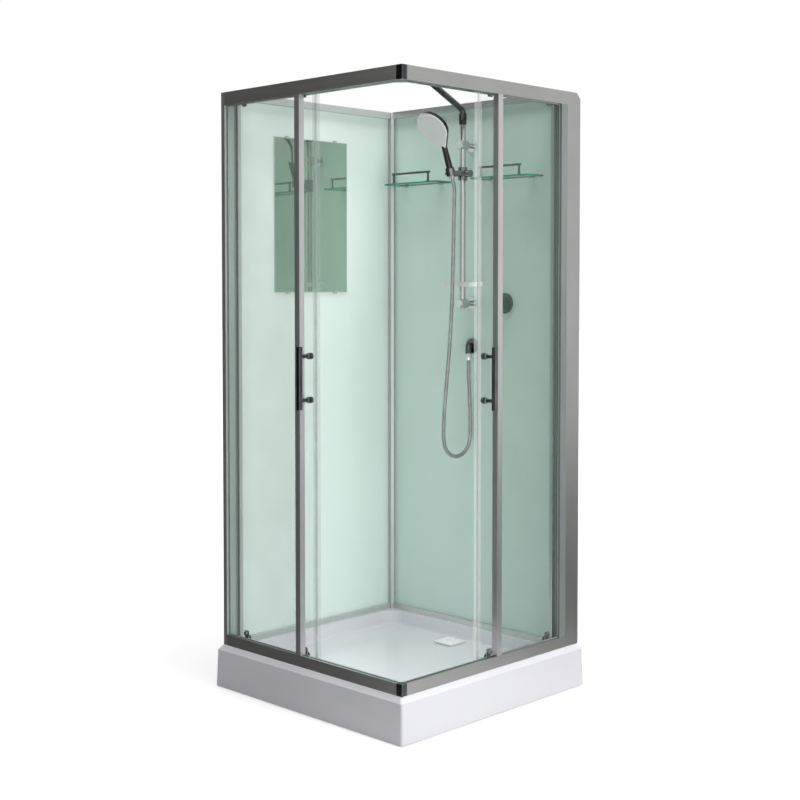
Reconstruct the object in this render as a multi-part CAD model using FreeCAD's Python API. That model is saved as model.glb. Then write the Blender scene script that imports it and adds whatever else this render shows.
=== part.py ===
"""A corner-entry shower cabin as separate pieces at real size, in millimetres.

The origin is on the floor under the middle of the tray. The front door faces -Y and the side door +X,
and they meet at the front corner. The mirror wall is at -X and the shower wall at +Y. Both doors are
modelled slid open. Along a door side, t runs from the wall to the front corner, and s runs inward from
the frame's outer face. The side door's pieces are the front door's, mirrored in the plane x + y = 0.
"""
import FreeCAD, Part
import math
import os
from collections import namedtuple

V = FreeCAD.Vector
X_AXIS = V(1, 0, 0)
Y_AXIS = V(0, 1, 0)
Z_AXIS = V(0, 0, 1)
DOWN = V(0, 0, -1)

# Fits and cuts
SEAT = 0.3
RUNNING = 0.05
OVERRUN = 1.0
SAME_HEIGHT = 0.03

# Tray
TRAY_SIDE = 900.0
TRAY_HEIGHT = 145.0
TRAY_FLARE = 4.0
TRAY_CORNER = 8.0
TRAY_WALL = 5.0
TRAY_LIP_HEIGHT = 17.0
TRAY_LIP_INSET = 13.0
TRAY_LIP_ROUND = 5.0
SKIRT_LIFT = 2.0
BASIN_DEPTH = 45.0
BASIN_RIM = 78.0
BASIN_BACK_RIM = 118.0
BASIN_CORNER = 60.0
BASIN_DRAFT = 18.0
BASIN_ROUND = 14.0
WASTE_NOTCH_WIDTH = 70.0
WASTE_NOTCH_HEIGHT = 78.0

# Support frame and feet under the tray
TUBE = 25.0
TUBE_WALL = 2.0
FRAME_SPAN = 660.0
CROSS_SPACING = 220.0
FOOT_RADIUS = 25.0
FOOT_THICKNESS = 12.0
STUD_RADIUS = 6.0
STUD_REACH = 15.0
NUT_ACROSS = 19.0
NUT_HEIGHT = 8.0

# Waste and drain cover
DRAIN_FROM_WALL = 79.0
NECK_RADIUS = 30.0
NECK_BORE = 26.0
NECK_DEPTH = 15.0
FLANGE_RADIUS = 36.0
FLANGE_THICKNESS = 2.0
TRAP_RADIUS = 45.0
TRAP_BOTTOM = 22.0
TRAP_WALL = 3.0
TRAP_TUBE_GAP = 19.5
WASTE_RADIUS = 20.0
WASTE_COLLAR_RADIUS = 24.0
WASTE_COLLAR_REACH = 8.0
WASTE_REACH = 147.0
WASTE_AXIS_HEIGHT = 42.5
COVER_SIDE = 82.0
COVER_THICKNESS = 6.0
COVER_CORNER = 5.0
COVER_ROUND = 2.0
COVER_SPIGOT_RADIUS = 24.0
COVER_SPIGOT_WALL = 2.0
COVER_SPIGOT_DEPTH = 14.0

# Frame of posts and rails
FRAME_INSET = 18.0
LEFT_INSET = 23.0
BACK_INSET = 13.0
FRAME_HEIGHT = 1890.0
RAIL_DEPTH = 50.0
RAIL_WALL = 2.0
TOP_RAIL_HEIGHT = 44.0
BOTTOM_RAIL_HEIGHT = 37.0
GLAZING_DEPTH = 22.0
GLAZING_POCKET = 12.0
GLAZING_BRIDGE = 3.0
TRACK_LIP_HEIGHT = 10.0
TRACK_FLANGE_WIDTH = 12.5
TRACK_FLANGE_RISE = 4.0
CONNECTOR_SIDE = 23.0
TONGUE_LENGTH = 30.0
GROOVE_WIDTH = 2.5
GROOVE_DEPTH = 1.0
GROOVE_COUNT = 3
LEFT_POST_WIDTH = 18.0
RIGHT_POST_WIDTH = 70.0
RIGHT_POST_CHAMFER = 20.0
INNER_PROFILE_WIDTH = 32.0
INNER_PROFILE_DEPTH = 21.0
EDGE_PROFILE_WIDTH = 23.0
EDGE_PROFILE_SETBACK = 1.0
FRONT_FIXED_WIDTH = 398.0
SIDE_FIXED_WIDTH = 428.0
FIXED_GLASS = 5.0
FIXED_GLASS_DEPTH = 9.0

# Walls
WALL_GLASS = 6.0
WALL_PROFILE_DEPTH = 36.0
WALL_BOTTOM_HEIGHT = 20.0
WALL_TOP_HEIGHT = 24.0
WALL_POCKET = 14.0
LEFT_WALL_INSET = 3.0
PLUMBING_DEPTH = 55.0
CORNER_POST_WIDTH = 43.0
JAMB_WALL = 3.0
JAMB_WIDTH = 14.0

# Doors
DOOR_GLASS = 5.0
DOOR_DEPTH = 27.0
DOOR_CORNER_GAP = 47.0
DOOR_OVERLAP = 1.0
DOOR_FOOT_GAP = 13.0
DOOR_HEAD_REACH = 15.0
FRONT_STOP_GAP = 9.0
SIDE_STOP_GAP = 3.0
SEAL_WALL = 2.0
SEAL_GRIP = 13.0
SEAL_FIN = 6.0
SEAL_FIN_WALL = 1.5
NOSE_GAP = 0.5

# Rollers and hangers
ROLLER_DEPTH = 36.0
ROLLER_WIDTH = 8.0
ROLLER_RADIUS = 11.5
ROLLER_CHAMFER = 1.5
GROOVE_RADIUS = 9.0
TRACK_GROOVE = 2.8
TRACK_RIB = 2.0
ROLLER_FROM_LEAD = 62.0
ROLLER_FROM_TRAIL = 52.0
TOP_AXLE_DROP = 26.0
BOTTOM_AXLE_RISE = 30.0
AXLE_RADIUS = 3.0
AXLE_HEAD_RADIUS = 4.6
AXLE_HEAD = 1.4
HANGER_WIDTH = 22.0
HANGER_PLATE = 2.2
HANGER_MARGIN = 10.0
HANGER_BOLT_RADIUS = 4.0
HANGER_CAP_RADIUS = 8.0
HANGER_CAP = 2.0
TOP_BOLT_DROP = 15.0
BOTTOM_BOLT_RISE = 17.0

# Handles
HANDLE_BAR = 15.0
HANDLE_LENGTH = 204.0
HANDLE_HOLE_SPACING = 142.0
HANDLE_HEIGHT = 1083.0
HANDLE_SETBACK = 41.0
HANDLE_PROUD = 0.5
STANDOFF_RADIUS = 6.0
HANDLE_STUD_RADIUS = 3.5
KNOB_RADIUS = 10.5
KNOB_LENGTH = 13.0
HANDLE_ROUND = 1.5

# Mirror, shelves and gallery rails
MIRROR_GLASS = 4.0
MIRROR_WIDTH = 348.0
MIRROR_HEIGHT = 546.0
MIRROR_CENTRE_Y = -47.0
MIRROR_CENTRE_Z = 1630.0
MIRROR_CLIP = 14.0
MIRROR_CLIP_LIP = 5.0
MIRROR_CLIP_WALL = 2.0
MIRROR_CLIP_INSET = 60.0
LEFT_SHELF_CORNER_GAP = 16.0
LEFT_SHELF_RISER_GAP = 107.0
RIGHT_SHELF_RISER_GAP = 50.0
RIGHT_SHELF_END_GAP = 50.0
SHELF_WIDTH = 80.0
SHELF_GLASS = 6.0
SHELF_HEIGHT = 1758.0
SHELF_CORNER = 14.0
SHELF_CLIP_WIDTH = 18.0
SHELF_CLIP_DEPTH = 16.0
SHELF_CLIP_WALL = 5.0
SHELF_CLIP_INSET = 45.0
GALLERY_END_GAP = 40.0
GALLERY_RISE = 37.0
GALLERY_INSET = 9.0
GALLERY_RADIUS = 4.0
GALLERY_FOOT_RADIUS = 6.0
GALLERY_FOOT = 4.0
GALLERY_OVERHANG = 8.0

# Riser, its brackets and the soap dish
SHOWER_X = 12.0
RISER_OFFSET = 55.0
RISER_RADIUS = 11.0
RISER_BELOW_BRACKET = 18.0
RISER_TOP = 1988.0
RISER_WALL = 1.5
UPPER_BRACKET_HEIGHT = 1881.0
BRACKET_BELOW_MIXER = 1.0
BRACKET_HUB_RADIUS = 17.0
BRACKET_HUB_REACH = 19.0
BRACKET_HUB_ROUND = 3.0
BRACKET_SHANK_RADIUS = 9.0
BRACKET_FLANGE_RADIUS = 22.0
BRACKET_FLANGE = 6.0
WALL_INLET_REACH = 6.0
DISH_ABOVE_BRACKET = 60.0
DISH_WIDTH = 164.0
DISH_FRONT = 34.0
DISH_BACK = 32.0
DISH_RISE = 16.0
DISH_WALL = 4.0
DISH_CORNER = 26.0
DISH_COLLAR_RADIUS = 16.0

# Overhead arm and rain head
ARM_RADIUS = 11.0
ARM_RISE_ANGLE = 25.5
ARM_TOP_AXIS = 2113.0
ARM_FOOT_RISE = 17.0
ARM_REACH = 326.0
ARM_FOOT_BEND = 24.0
ARM_CREST_BEND = 160.0
ARM_NOSE_BEND = 14.0
ARM_NOSE_DROP = 14.5
ARM_UNION_RADIUS = 14.0
ARM_UNION_HEIGHT = 20.0
ARM_UNION_WALL = 3.0
ARM_SOCKET_DEPTH = 11.5
HEAD_BALL_RADIUS = 7.0
HEAD_BALL_RISE = 4.0
HEAD_PIN_RADIUS = 2.0
HEAD_STEM_RADIUS = 4.0
HEAD_STEM_DROP = 10.5
HEAD_HUB_RADIUS = 24.0
RAIN_RADIUS = 100.0
RAIN_THICKNESS = 10.0
RAIN_EDGE = 4.0

# Slider, handset holder and handset
HOLDER_HEIGHT = 1772.0
HANDSET_REACH = 60.0
HANDSET_LEAN = 21.0
SLIDER_RADIUS = 17.0
SLIDER_RISE = 30.0
SLIDER_DROP = 17.0
SLIDER_KNOB_RADIUS = 13.0
SLIDER_KNOB_REACH = 38.0
FORK_GAP_RADIUS = 16.3
FORK_ARM = 5.0
FORK_HEIGHT = 16.0
TRUNNION_RADIUS = 4.0
TRUNNION_RISE = 6.0
SOCKET_RADIUS = 16.0
SOCKET_LENGTH = 30.0
SOCKET_DROP = 10.0
SOCKET_MOUTH = 15.0
HANDLE_RADIUS = 11.5
HANDLE_NECK_RADIUS = 9.5
HANDLE_STRAIGHT = 40.0
NECK_DISTANCE = 112.0
HANDSET_BEND = 22.0
HANDSET_HEAD_RADIUS = 60.0
HANDSET_TAIL_RADIUS = 12.0
HANDSET_HEAD_REACH = 80.0
HANDSET_HEAD_THICKNESS = 20.0
HANDSET_HEAD_ROUND = 7.0
HANDSET_FACE_MARGIN = 4.0
HANDSET_FACE_INSET = 3.0
HANDSET_FACE_PROUD = 1.0
HOSE_NUT_RADIUS = 10.0
HOSE_NUT_END_RADIUS = 8.5
HOSE_NUT_LENGTH = 15.0

# Wall elbow and mixer
ELBOW_BELOW_MIXER = 155.0
ELBOW_AXIS_OFFSET = 22.0
ELBOW_FLANGE_RADIUS = 27.0
ELBOW_FLANGE = 6.0
ELBOW_RADIUS = 11.0
ELBOW_DROP = 27.0
OUTLET_NUT_LENGTH = 24.0
MIXER_X = 165.0
MIXER_HEIGHT = 1319.0
PLATE_RADIUS = 36.0
PLATE_THICKNESS = 7.0
PLATE_ROUND = 3.0
SPINDLE_RADIUS = 12.0
SPINDLE_PROUD = 3.0
KNOB_BODY_RADIUS = 20.0
KNOB_BODY_LENGTH = 34.0
LEVER_WIDTH = 13.0
LEVER_THICKNESS = 9.0
LEVER_LENGTH = 52.0
LEVER_SETBACK = 8.0
LEVER_ROUND = 3.0
VALVE_WIDTH = 62.0
VALVE_DEPTH = 38.0
VALVE_HEIGHT = 72.0
INLET_RADIUS = 10.5
INLET_LENGTH = 18.0
INLET_SPACING = 40.0
PIPE_RADIUS = 8.0
PIPE_BEND = 12.0
GLASS_HOLE_MARGIN = 1.0

# Hose, as its route in the shower's plane: distance from the wall and height over the hose outlet
HOSE_RADIUS = 7.0
HOSE_LEAD = 32.0
HOSE_TAIL = 45.0
HOSE_REACH_SHARE = 0.45
HOSE_ROUTE = (
    (109.0, 217.0),
    (124.0, 37.0),
    (145.0, -128.0),
    (154.0, -223.0),
    (153.0, -295.0),
    (126.3, -331.5),
    (83.0, -345.6),
    (39.7, -331.5),
    (13.0, -295.0),
    (11.0, -223.0),
    (16.0, -128.0),
)

# Places worked out from the sizes
HALF = TRAY_SIDE / 2
RIM_Z = TRAY_HEIGHT
FLOOR_Z = RIM_Z - BASIN_DEPTH
TUB_Z = FLOOR_Z - TRAY_WALL
TOP_Z = RIM_Z + FRAME_HEIGHT
FACE = HALF - FRAME_INSET
LEFT_END = LEFT_INSET - HALF
BACK_END = HALF - BACK_INSET
BOTTOM_RAIL_TOP = RIM_Z + BOTTOM_RAIL_HEIGHT
TOP_RAIL_BOTTOM = TOP_Z - TOP_RAIL_HEIGHT
LEAD_CLOSED = FACE - DOOR_CORNER_GAP
TOP_AXLE_Z = TOP_Z - TOP_AXLE_DROP
BOTTOM_AXLE_Z = RIM_Z + BOTTOM_AXLE_RISE
DOOR_Z0 = RIM_Z + DOOR_FOOT_GAP
DOOR_Z1 = TOP_RAIL_BOTTOM + DOOR_HEAD_REACH
DOOR_BACK = DOOR_DEPTH + DOOR_GLASS
LEFT_PROFILE_X = LEFT_END + LEFT_WALL_INSET
LEFT_PROFILE_FACE = LEFT_PROFILE_X + WALL_PROFILE_DEPTH
LEFT_GLASS_X = LEFT_PROFILE_X + (WALL_PROFILE_DEPTH - WALL_GLASS) / 2
LEFT_FACE = LEFT_GLASS_X + WALL_GLASS
BACK_PROFILE_Y = BACK_END - PLUMBING_DEPTH
BACK_PROFILE_FACE = BACK_PROFILE_Y - WALL_PROFILE_DEPTH
BACK_FACE = BACK_PROFILE_FACE + (WALL_PROFILE_DEPTH - WALL_GLASS) / 2
BACK_GLASS_Y = BACK_FACE + WALL_GLASS
CORNER_POST_FACE = LEFT_PROFILE_X + CORNER_POST_WIDTH
WALL_START_Y = RAIL_DEPTH - FACE
WALL_END_X = FACE - RAIL_DEPTH
WALL_Z0 = RIM_Z + WALL_BOTTOM_HEIGHT
WALL_Z1 = TOP_Z - WALL_TOP_HEIGHT
DRAIN_Y = HALF - BASIN_BACK_RIM - DRAIN_FROM_WALL
FRAME_BACK_Y = DRAIN_Y + TRAP_RADIUS + TRAP_TUBE_GAP + TUBE / 2
LOWER_BRACKET_HEIGHT = MIXER_HEIGHT - BRACKET_BELOW_MIXER
RISER_BOTTOM = LOWER_BRACKET_HEIGHT - RISER_BELOW_BRACKET
DISH_HEIGHT = LOWER_BRACKET_HEIGHT + DISH_ABOVE_BRACKET
ELBOW_HEIGHT = MIXER_HEIGHT - ELBOW_BELOW_MIXER
RISER_Y = BACK_FACE - RISER_OFFSET
LEFT_SHELF_ENDS = (CORNER_POST_FACE + LEFT_SHELF_CORNER_GAP, SHOWER_X - LEFT_SHELF_RISER_GAP)
RIGHT_SHELF_ENDS = (SHOWER_X + RIGHT_SHELF_RISER_GAP, WALL_END_X - RIGHT_SHELF_END_GAP)
ELBOW_Y = BACK_FACE - ELBOW_AXIS_OFFSET
HANDSET_END = V(SHOWER_X, RISER_Y - HANDSET_REACH, HOLDER_HEIGHT)

# One door side: where its rails start, where its fixed panel ends and how far its door is slid open
Side = namedtuple("Side", "name start glass_start edge shift")
DOOR_WIDTH = LEAD_CLOSED - (LEFT_END + FRONT_FIXED_WIDTH) + DOOR_OVERLAP


def make_side(name, end, post_width, profile_width, fixed_width, stop_gap):
    start = end + post_width
    shift = LEAD_CLOSED - DOOR_WIDTH - SEAL_FIN - start - stop_gap
    return Side(name, start, start + profile_width, end + fixed_width, shift)


FRONT = make_side("front", LEFT_END, LEFT_POST_WIDTH, 0, FRONT_FIXED_WIDTH, FRONT_STOP_GAP)
SIDE = make_side("side", -BACK_END, RIGHT_POST_WIDTH, INNER_PROFILE_WIDTH, SIDE_FIXED_WIDTH, SIDE_STOP_GAP)


def lead_edge(side):
    return LEAD_CLOSED - side.shift


def trail_edge(side):
    return lead_edge(side) - DOOR_WIDTH


# Basic shapes
def box(x0, x1, y0, y1, z0, z1):
    return Part.makeBox(x1 - x0, y1 - y0, z1 - z0, V(x0, y0, z0))


def pin(radius, start, end):
    return Part.makeCylinder(radius, (end - start).Length, start, end - start)


def cone(radius0, radius1, start, end):
    return Part.makeCone(radius0, radius1, (end - start).Length, start, end - start)


def prism(points, height):
    """A polygon of vectors, pushed along a height vector."""
    return Part.Face(Part.makePolygon(points + points[:1])).extrude(height)


def hexagon(across, height, centre):
    radius = across / math.sqrt(3)
    angles = [math.radians(60 * i) for i in range(6)]
    points = [centre + V(radius * math.cos(a), radius * math.sin(a), 0) for a in angles]
    return prism(points, V(0, 0, height))


def spin(points, axis_point, axis):
    """A solid turned from a closed outline about an axis."""
    face = Part.Face(Part.makePolygon(points + points[:1]))
    return face.revolve(axis_point, axis, 360)


def rounded_outline(x0, x1, y0, y1, radius, z):
    corners = ((x1, y0, -90), (x1, y1, 0), (x0, y1, 90), (x0, y0, 180))
    edges = []
    ends = []
    for x, y, start in corners:
        in_x = math.copysign(radius, (x0 + x1) / 2 - x)
        in_y = math.copysign(radius, (y0 + y1) / 2 - y)
        centre = V(x + in_x, y + in_y, z)
        arc = Part.Circle(centre, Z_AXIS, radius).toShape(math.radians(start), math.radians(start + 90))
        edges.append(arc)
        ends.append((arc.firstVertex().Point, arc.lastVertex().Point))
    outline = []
    for i, arc in enumerate(edges):
        outline.append(arc)
        outline.append(Part.makeLine(ends[i][1], ends[(i + 1) % len(ends)][0]))
    return Part.Wire(outline)


def rounded_block(x0, x1, y0, y1, radius, z0, z1):
    face = Part.Face(rounded_outline(x0, x1, y0, y1, radius, z0))
    return face.extrude(V(0, 0, z1 - z0))


def tapered_block(x0, x1, y0, y1, radius, z0, z1, inset):
    """A block with round corners that narrows by inset on each side from z0 to z1."""
    low = rounded_outline(x0, x1, y0, y1, radius, z0)
    high = rounded_outline(x0 + inset, x1 - inset, y0 + inset, y1 - inset, radius, z1)
    return Part.makeLoft([low, high], True, True)


def edges_at(shape, z):
    """The edges that lie wholly at one height."""
    boxes = [(e, e.BoundBox) for e in shape.Edges]
    return [e for e, b in boxes if max(abs(b.ZMin - z), abs(b.ZMax - z)) < SAME_HEIGHT]


def unit(vector):
    return V(vector).normalize()


def bent_path(points, reaches):
    """Straight runs joined by tangent arcs that start at each reach from their corner; also the radii."""
    edges = []
    radii = []
    last = points[0]
    for before, corner, after, reach in zip(points, points[1:], points[2:], reaches):
        back = unit(before - corner)
        ahead = unit(after - corner)
        half = back.getAngle(ahead) / 2
        radius = reach * math.tan(half)
        middle = corner + unit(back + ahead) * (radius / math.sin(half) - radius)
        edges.append(Part.makeLine(last, corner + back * reach))
        edges.append(Part.Arc(corner + back * reach, middle, corner + ahead * reach).toShape())
        last = corner + ahead * reach
        radii.append(radius)
    edges.append(Part.makeLine(last, points[-1]))
    return Part.Wire(edges), radii


def bend_reaches(points, radii):
    """How far from each corner an arc of the given radius starts."""
    reaches = []
    for before, corner, after, radius in zip(points, points[1:], points[2:], radii):
        half = (before - corner).getAngle(after - corner) / 2
        reaches.append(radius / math.tan(half))
    return reaches


def pipe(path, radius):
    first = path.OrderedEdges[0]
    at = first.FirstParameter
    ring = Part.Circle(first.valueAt(at), first.tangentAt(at), radius).toShape()
    return path.makePipeShell([Part.Wire(ring)], True, False)


def front_box(t0, t1, s0, s1, z0, z1):
    return box(t0, t1, s0 - FACE, s1 - FACE, z0, z1)


def front_pin(radius, t, z, s0, s1):
    return pin(radius, V(t, s0 - FACE, z), V(t, s1 - FACE, z))


def place(side, shape):
    """Puts a piece made on the front side onto its own side."""
    if side.name == FRONT.name:
        return shape
    return shape.mirror(V(0, 0, 0), V(1, 1, 0))


# Tray, its support and its waste
def tray_body(wall, z0, z1):
    """The skirt and the sloped lip over it as one block, drawn in by a wall on every side."""
    lip_z = RIM_Z - TRAY_LIP_HEIGHT
    foot = HALF - wall
    shoulder = foot - TRAY_FLARE
    radius = TRAY_CORNER - wall
    skirt = tapered_block(-foot, foot, -foot, foot, radius, z0, lip_z, TRAY_FLARE)
    lip = tapered_block(-shoulder, shoulder, -shoulder, shoulder, radius, lip_z, z1, TRAY_LIP_INSET)
    return skirt.fuse(lip).removeSplitter()


def tray_shell():
    outer = tray_body(0, SKIRT_LIFT, RIM_Z)
    lip_edges = edges_at(outer, RIM_Z - TRAY_LIP_HEIGHT) + edges_at(outer, RIM_Z)
    outer = outer.makeFillet(TRAY_LIP_ROUND, lip_edges)
    cavity = tray_body(TRAY_WALL, SKIRT_LIFT - OVERRUN, RIM_Z - TRAY_WALL)
    x1 = HALF - BASIN_RIM
    y1 = HALF - BASIN_BACK_RIM
    lip = x1 + TRAY_WALL
    tub = tapered_block(-lip, lip, -lip, y1 + TRAY_WALL, BASIN_CORNER + TRAY_WALL, RIM_Z - TRAY_WALL, TUB_Z,
                        BASIN_DRAFT)
    basin = tapered_block(-x1, x1, -x1, y1, BASIN_CORNER, RIM_Z, FLOOR_Z, BASIN_DRAFT)
    basin = basin.makeFillet(BASIN_ROUND, edges_at(basin, FLOOR_Z))
    hole = pin(NECK_RADIUS + SEAT, V(0, DRAIN_Y, TUB_Z - OVERRUN), V(0, DRAIN_Y, FLOOR_Z + OVERRUN))
    notch = box(-WASTE_NOTCH_WIDTH / 2, WASTE_NOTCH_WIDTH / 2, DRAIN_Y, HALF + OVERRUN, 0, WASTE_NOTCH_HEIGHT)
    return outer.cut(cavity).fuse(tub).cut([basin, hole, notch]).removeSplitter()


def frame_tubes(inset, z0, z1):
    """The welded tubes as bars, drawn in by inset on every side."""
    half = TUBE / 2 - inset
    end = FRAME_SPAN / 2 + half
    bars = []
    for y in (-FRAME_SPAN / 2, -CROSS_SPACING / 2, CROSS_SPACING / 2, FRAME_BACK_Y):
        bars.append(box(-end, end, y - half, y + half, z0, z1))
    for x in (-FRAME_SPAN / 2, FRAME_SPAN / 2):
        bars.append(box(x - half, x + half, -end, FRAME_BACK_Y + half, z0, z1))
    return bars[0].fuse(bars[1:]).removeSplitter()


def foot_places():
    half = FRAME_SPAN / 2
    corners = [(x, y) for y in (-half, FRAME_BACK_Y) for x in (-half, half)]
    return corners + [(0, -CROSS_SPACING / 2)]


def tray_frame():
    z0 = TUB_Z - TUBE
    frame = frame_tubes(0, z0, TUB_Z).cut(frame_tubes(TUBE_WALL, z0 + TUBE_WALL, TUB_Z - TUBE_WALL))
    holes = [pin(STUD_RADIUS + SEAT, V(x, y, z0 - OVERRUN), V(x, y, z0 + TUBE_WALL + OVERRUN))
             for x, y in foot_places()]
    return frame.cut(holes)


def levelling_feet():
    z0 = TUB_Z - TUBE
    feet = []
    for x, y in foot_places():
        pad = cone(FOOT_RADIUS, FOOT_RADIUS - FOOT_THICKNESS / 2, V(x, y, 0), V(x, y, FOOT_THICKNESS))
        stud = pin(STUD_RADIUS, V(x, y, 0), V(x, y, z0 + STUD_REACH))
        nut = hexagon(NUT_ACROSS, NUT_HEIGHT, V(x, y, z0 - NUT_HEIGHT))
        feet.append(pad.fuse(stud).removeSplitter())
        feet.append(nut.cut(pin(STUD_RADIUS + RUNNING, V(x, y, 0), V(x, y, z0 + OVERRUN))))
    return feet


def drain_waste():
    """The flange seen in the tray, and the trap that screws to it from below."""
    top = FLOOR_Z + FLANGE_THICKNESS
    foot = TUB_Z - NECK_DEPTH
    flange = pin(FLANGE_RADIUS, V(0, DRAIN_Y, FLOOR_Z), V(0, DRAIN_Y, top))
    neck = pin(NECK_RADIUS, V(0, DRAIN_Y, foot), V(0, DRAIN_Y, top))
    bore = pin(NECK_BORE, V(0, DRAIN_Y, TRAP_BOTTOM + TRAP_WALL), V(0, DRAIN_Y, top + OVERRUN))
    body = pin(TRAP_RADIUS, V(0, DRAIN_Y, TRAP_BOTTOM), V(0, DRAIN_Y, TUB_Z))
    chamber = pin(TRAP_RADIUS - TRAP_WALL, V(0, DRAIN_Y, TRAP_BOTTOM + TRAP_WALL), V(0, DRAIN_Y, foot))
    thread = pin(NECK_RADIUS + RUNNING, V(0, DRAIN_Y, foot - OVERRUN), V(0, DRAIN_Y, TUB_Z + OVERRUN))
    axis_start = V(0, DRAIN_Y, WASTE_AXIS_HEIGHT)
    axis_end = V(0, DRAIN_Y + WASTE_REACH, WASTE_AXIS_HEIGHT)
    outlet = pin(WASTE_RADIUS, axis_start, axis_end)
    collar_end = axis_start + V(0, TRAP_RADIUS + WASTE_COLLAR_REACH, 0)
    collar = pin(WASTE_COLLAR_RADIUS, axis_start, collar_end)
    outlet_bore = pin(WASTE_RADIUS - TRAP_WALL, axis_start, axis_end + V(0, OVERRUN, 0))
    trap = body.fuse([outlet, collar]).cut([chamber, thread, outlet_bore]).removeSplitter()
    return [flange.fuse(neck).cut(bore).removeSplitter(), trap]


def drain_cover():
    z0 = FLOOR_Z + FLANGE_THICKNESS
    half = COVER_SIDE / 2
    plate = rounded_block(-half, half, DRAIN_Y - half, DRAIN_Y + half, COVER_CORNER, z0, z0 + COVER_THICKNESS)
    plate = plate.makeFillet(COVER_ROUND, edges_at(plate, z0 + COVER_THICKNESS))
    low = V(0, DRAIN_Y, z0 - COVER_SPIGOT_DEPTH)
    spigot = pin(COVER_SPIGOT_RADIUS, low, V(0, DRAIN_Y, z0))
    bore = pin(COVER_SPIGOT_RADIUS - COVER_SPIGOT_WALL, low - V(0, 0, OVERRUN), V(0, DRAIN_Y, z0))
    return plate.fuse(spigot).cut(bore).removeSplitter()


# Walls
def slotted_bar(bar, x0, x1, y0, y1, z0, z1):
    """A profile with the pocket that takes its glass, cut wider than the glass by the seat."""
    return bar.cut(box(x0, x1, y0, y1, z0, z1))


def left_wall_glass():
    y0 = WALL_START_Y + JAMB_WALL
    y1 = BACK_PROFILE_FACE + WALL_POCKET
    return box(LEFT_GLASS_X, LEFT_FACE, y0, y1, WALL_Z0 - WALL_POCKET + SEAT, WALL_Z1 + WALL_POCKET - SEAT)


def wall_holes():
    """Where the plumbing passes through the back wall: place along X, height and radius."""
    return ((SHOWER_X, LOWER_BRACKET_HEIGHT, BRACKET_SHANK_RADIUS),
            (SHOWER_X, ELBOW_HEIGHT, BRACKET_SHANK_RADIUS),
            (MIXER_X, MIXER_HEIGHT, SPINDLE_RADIUS))


def back_wall_glass():
    x0 = CORNER_POST_FACE - WALL_POCKET
    x1 = WALL_END_X - JAMB_WALL
    glass = box(x0, x1, BACK_FACE, BACK_GLASS_Y, WALL_Z0 - WALL_POCKET + SEAT, WALL_Z1 + WALL_POCKET - SEAT)
    holes = [pin(radius + GLASS_HOLE_MARGIN, V(x, BACK_FACE - OVERRUN, z), V(x, BACK_GLASS_Y + OVERRUN, z))
             for x, z, radius in wall_holes()]
    return glass.cut(holes)


def wall_profiles(x0, x1, y0, y1, pocket, jamb, jamb_pocket):
    """Bottom and top profiles of a wall and the jamb at its free end; a pocket is (x0, x1, y0, y1)."""
    bottom = box(x0, x1, y0, y1, RIM_Z, WALL_Z0)
    top = box(x0, x1, y0, y1, WALL_Z1, TOP_Z)
    upright = box(*jamb, WALL_Z0, WALL_Z1)
    return [slotted_bar(bottom, *pocket, WALL_Z0 - WALL_POCKET, WALL_Z0 + OVERRUN),
            slotted_bar(top, *pocket, WALL_Z1 - OVERRUN, WALL_Z1 + WALL_POCKET),
            slotted_bar(upright, *jamb_pocket, WALL_Z0 - OVERRUN, WALL_Z1 + OVERRUN)]


def left_wall_profiles():
    x0 = LEFT_GLASS_X - SEAT
    x1 = LEFT_FACE + SEAT
    y0 = WALL_START_Y + JAMB_WALL - SEAT
    end = BACK_PROFILE_FACE
    jamb = (LEFT_GLASS_X - JAMB_WALL, LEFT_FACE + JAMB_WALL, WALL_START_Y, WALL_START_Y + JAMB_WIDTH)
    return wall_profiles(LEFT_PROFILE_X, LEFT_PROFILE_FACE, WALL_START_Y, end, (x0, x1, y0, end + OVERRUN),
                         jamb, (x0, x1, y0, jamb[3] + OVERRUN))


def back_wall_profiles():
    y0 = BACK_FACE - SEAT
    y1 = BACK_GLASS_Y + SEAT
    x1 = WALL_END_X - JAMB_WALL + SEAT
    start = CORNER_POST_FACE
    jamb = (WALL_END_X - JAMB_WIDTH, WALL_END_X, BACK_FACE - JAMB_WALL, BACK_GLASS_Y + JAMB_WALL)
    return wall_profiles(start, WALL_END_X, BACK_PROFILE_FACE, BACK_PROFILE_Y, (start - OVERRUN, x1, y0, y1),
                         jamb, (jamb[0] - OVERRUN, x1, y0, y1))


def corner_post():
    x1 = CORNER_POST_FACE
    post = box(LEFT_PROFILE_X, x1, BACK_PROFILE_FACE, BACK_PROFILE_Y, RIM_Z, TOP_Z)
    left_slot = box(LEFT_GLASS_X - SEAT, LEFT_FACE + SEAT, BACK_PROFILE_FACE - OVERRUN,
                    BACK_PROFILE_FACE + WALL_POCKET + SEAT, RIM_Z - OVERRUN, TOP_Z + OVERRUN)
    back_slot = box(x1 - WALL_POCKET - SEAT, x1 + OVERRUN, BACK_FACE - SEAT, BACK_GLASS_Y + SEAT,
                    RIM_Z - OVERRUN, TOP_Z + OVERRUN)
    return post.cut([left_slot, back_slot])


# Frame
def glass_slot(t0, t1, z0, z1):
    """The pocket for a fixed pane, in a profile of a door side."""
    return front_box(t0, t1, FIXED_GLASS_DEPTH - SEAT, FIXED_GLASS_DEPTH + FIXED_GLASS + SEAT, z0, z1)


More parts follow.
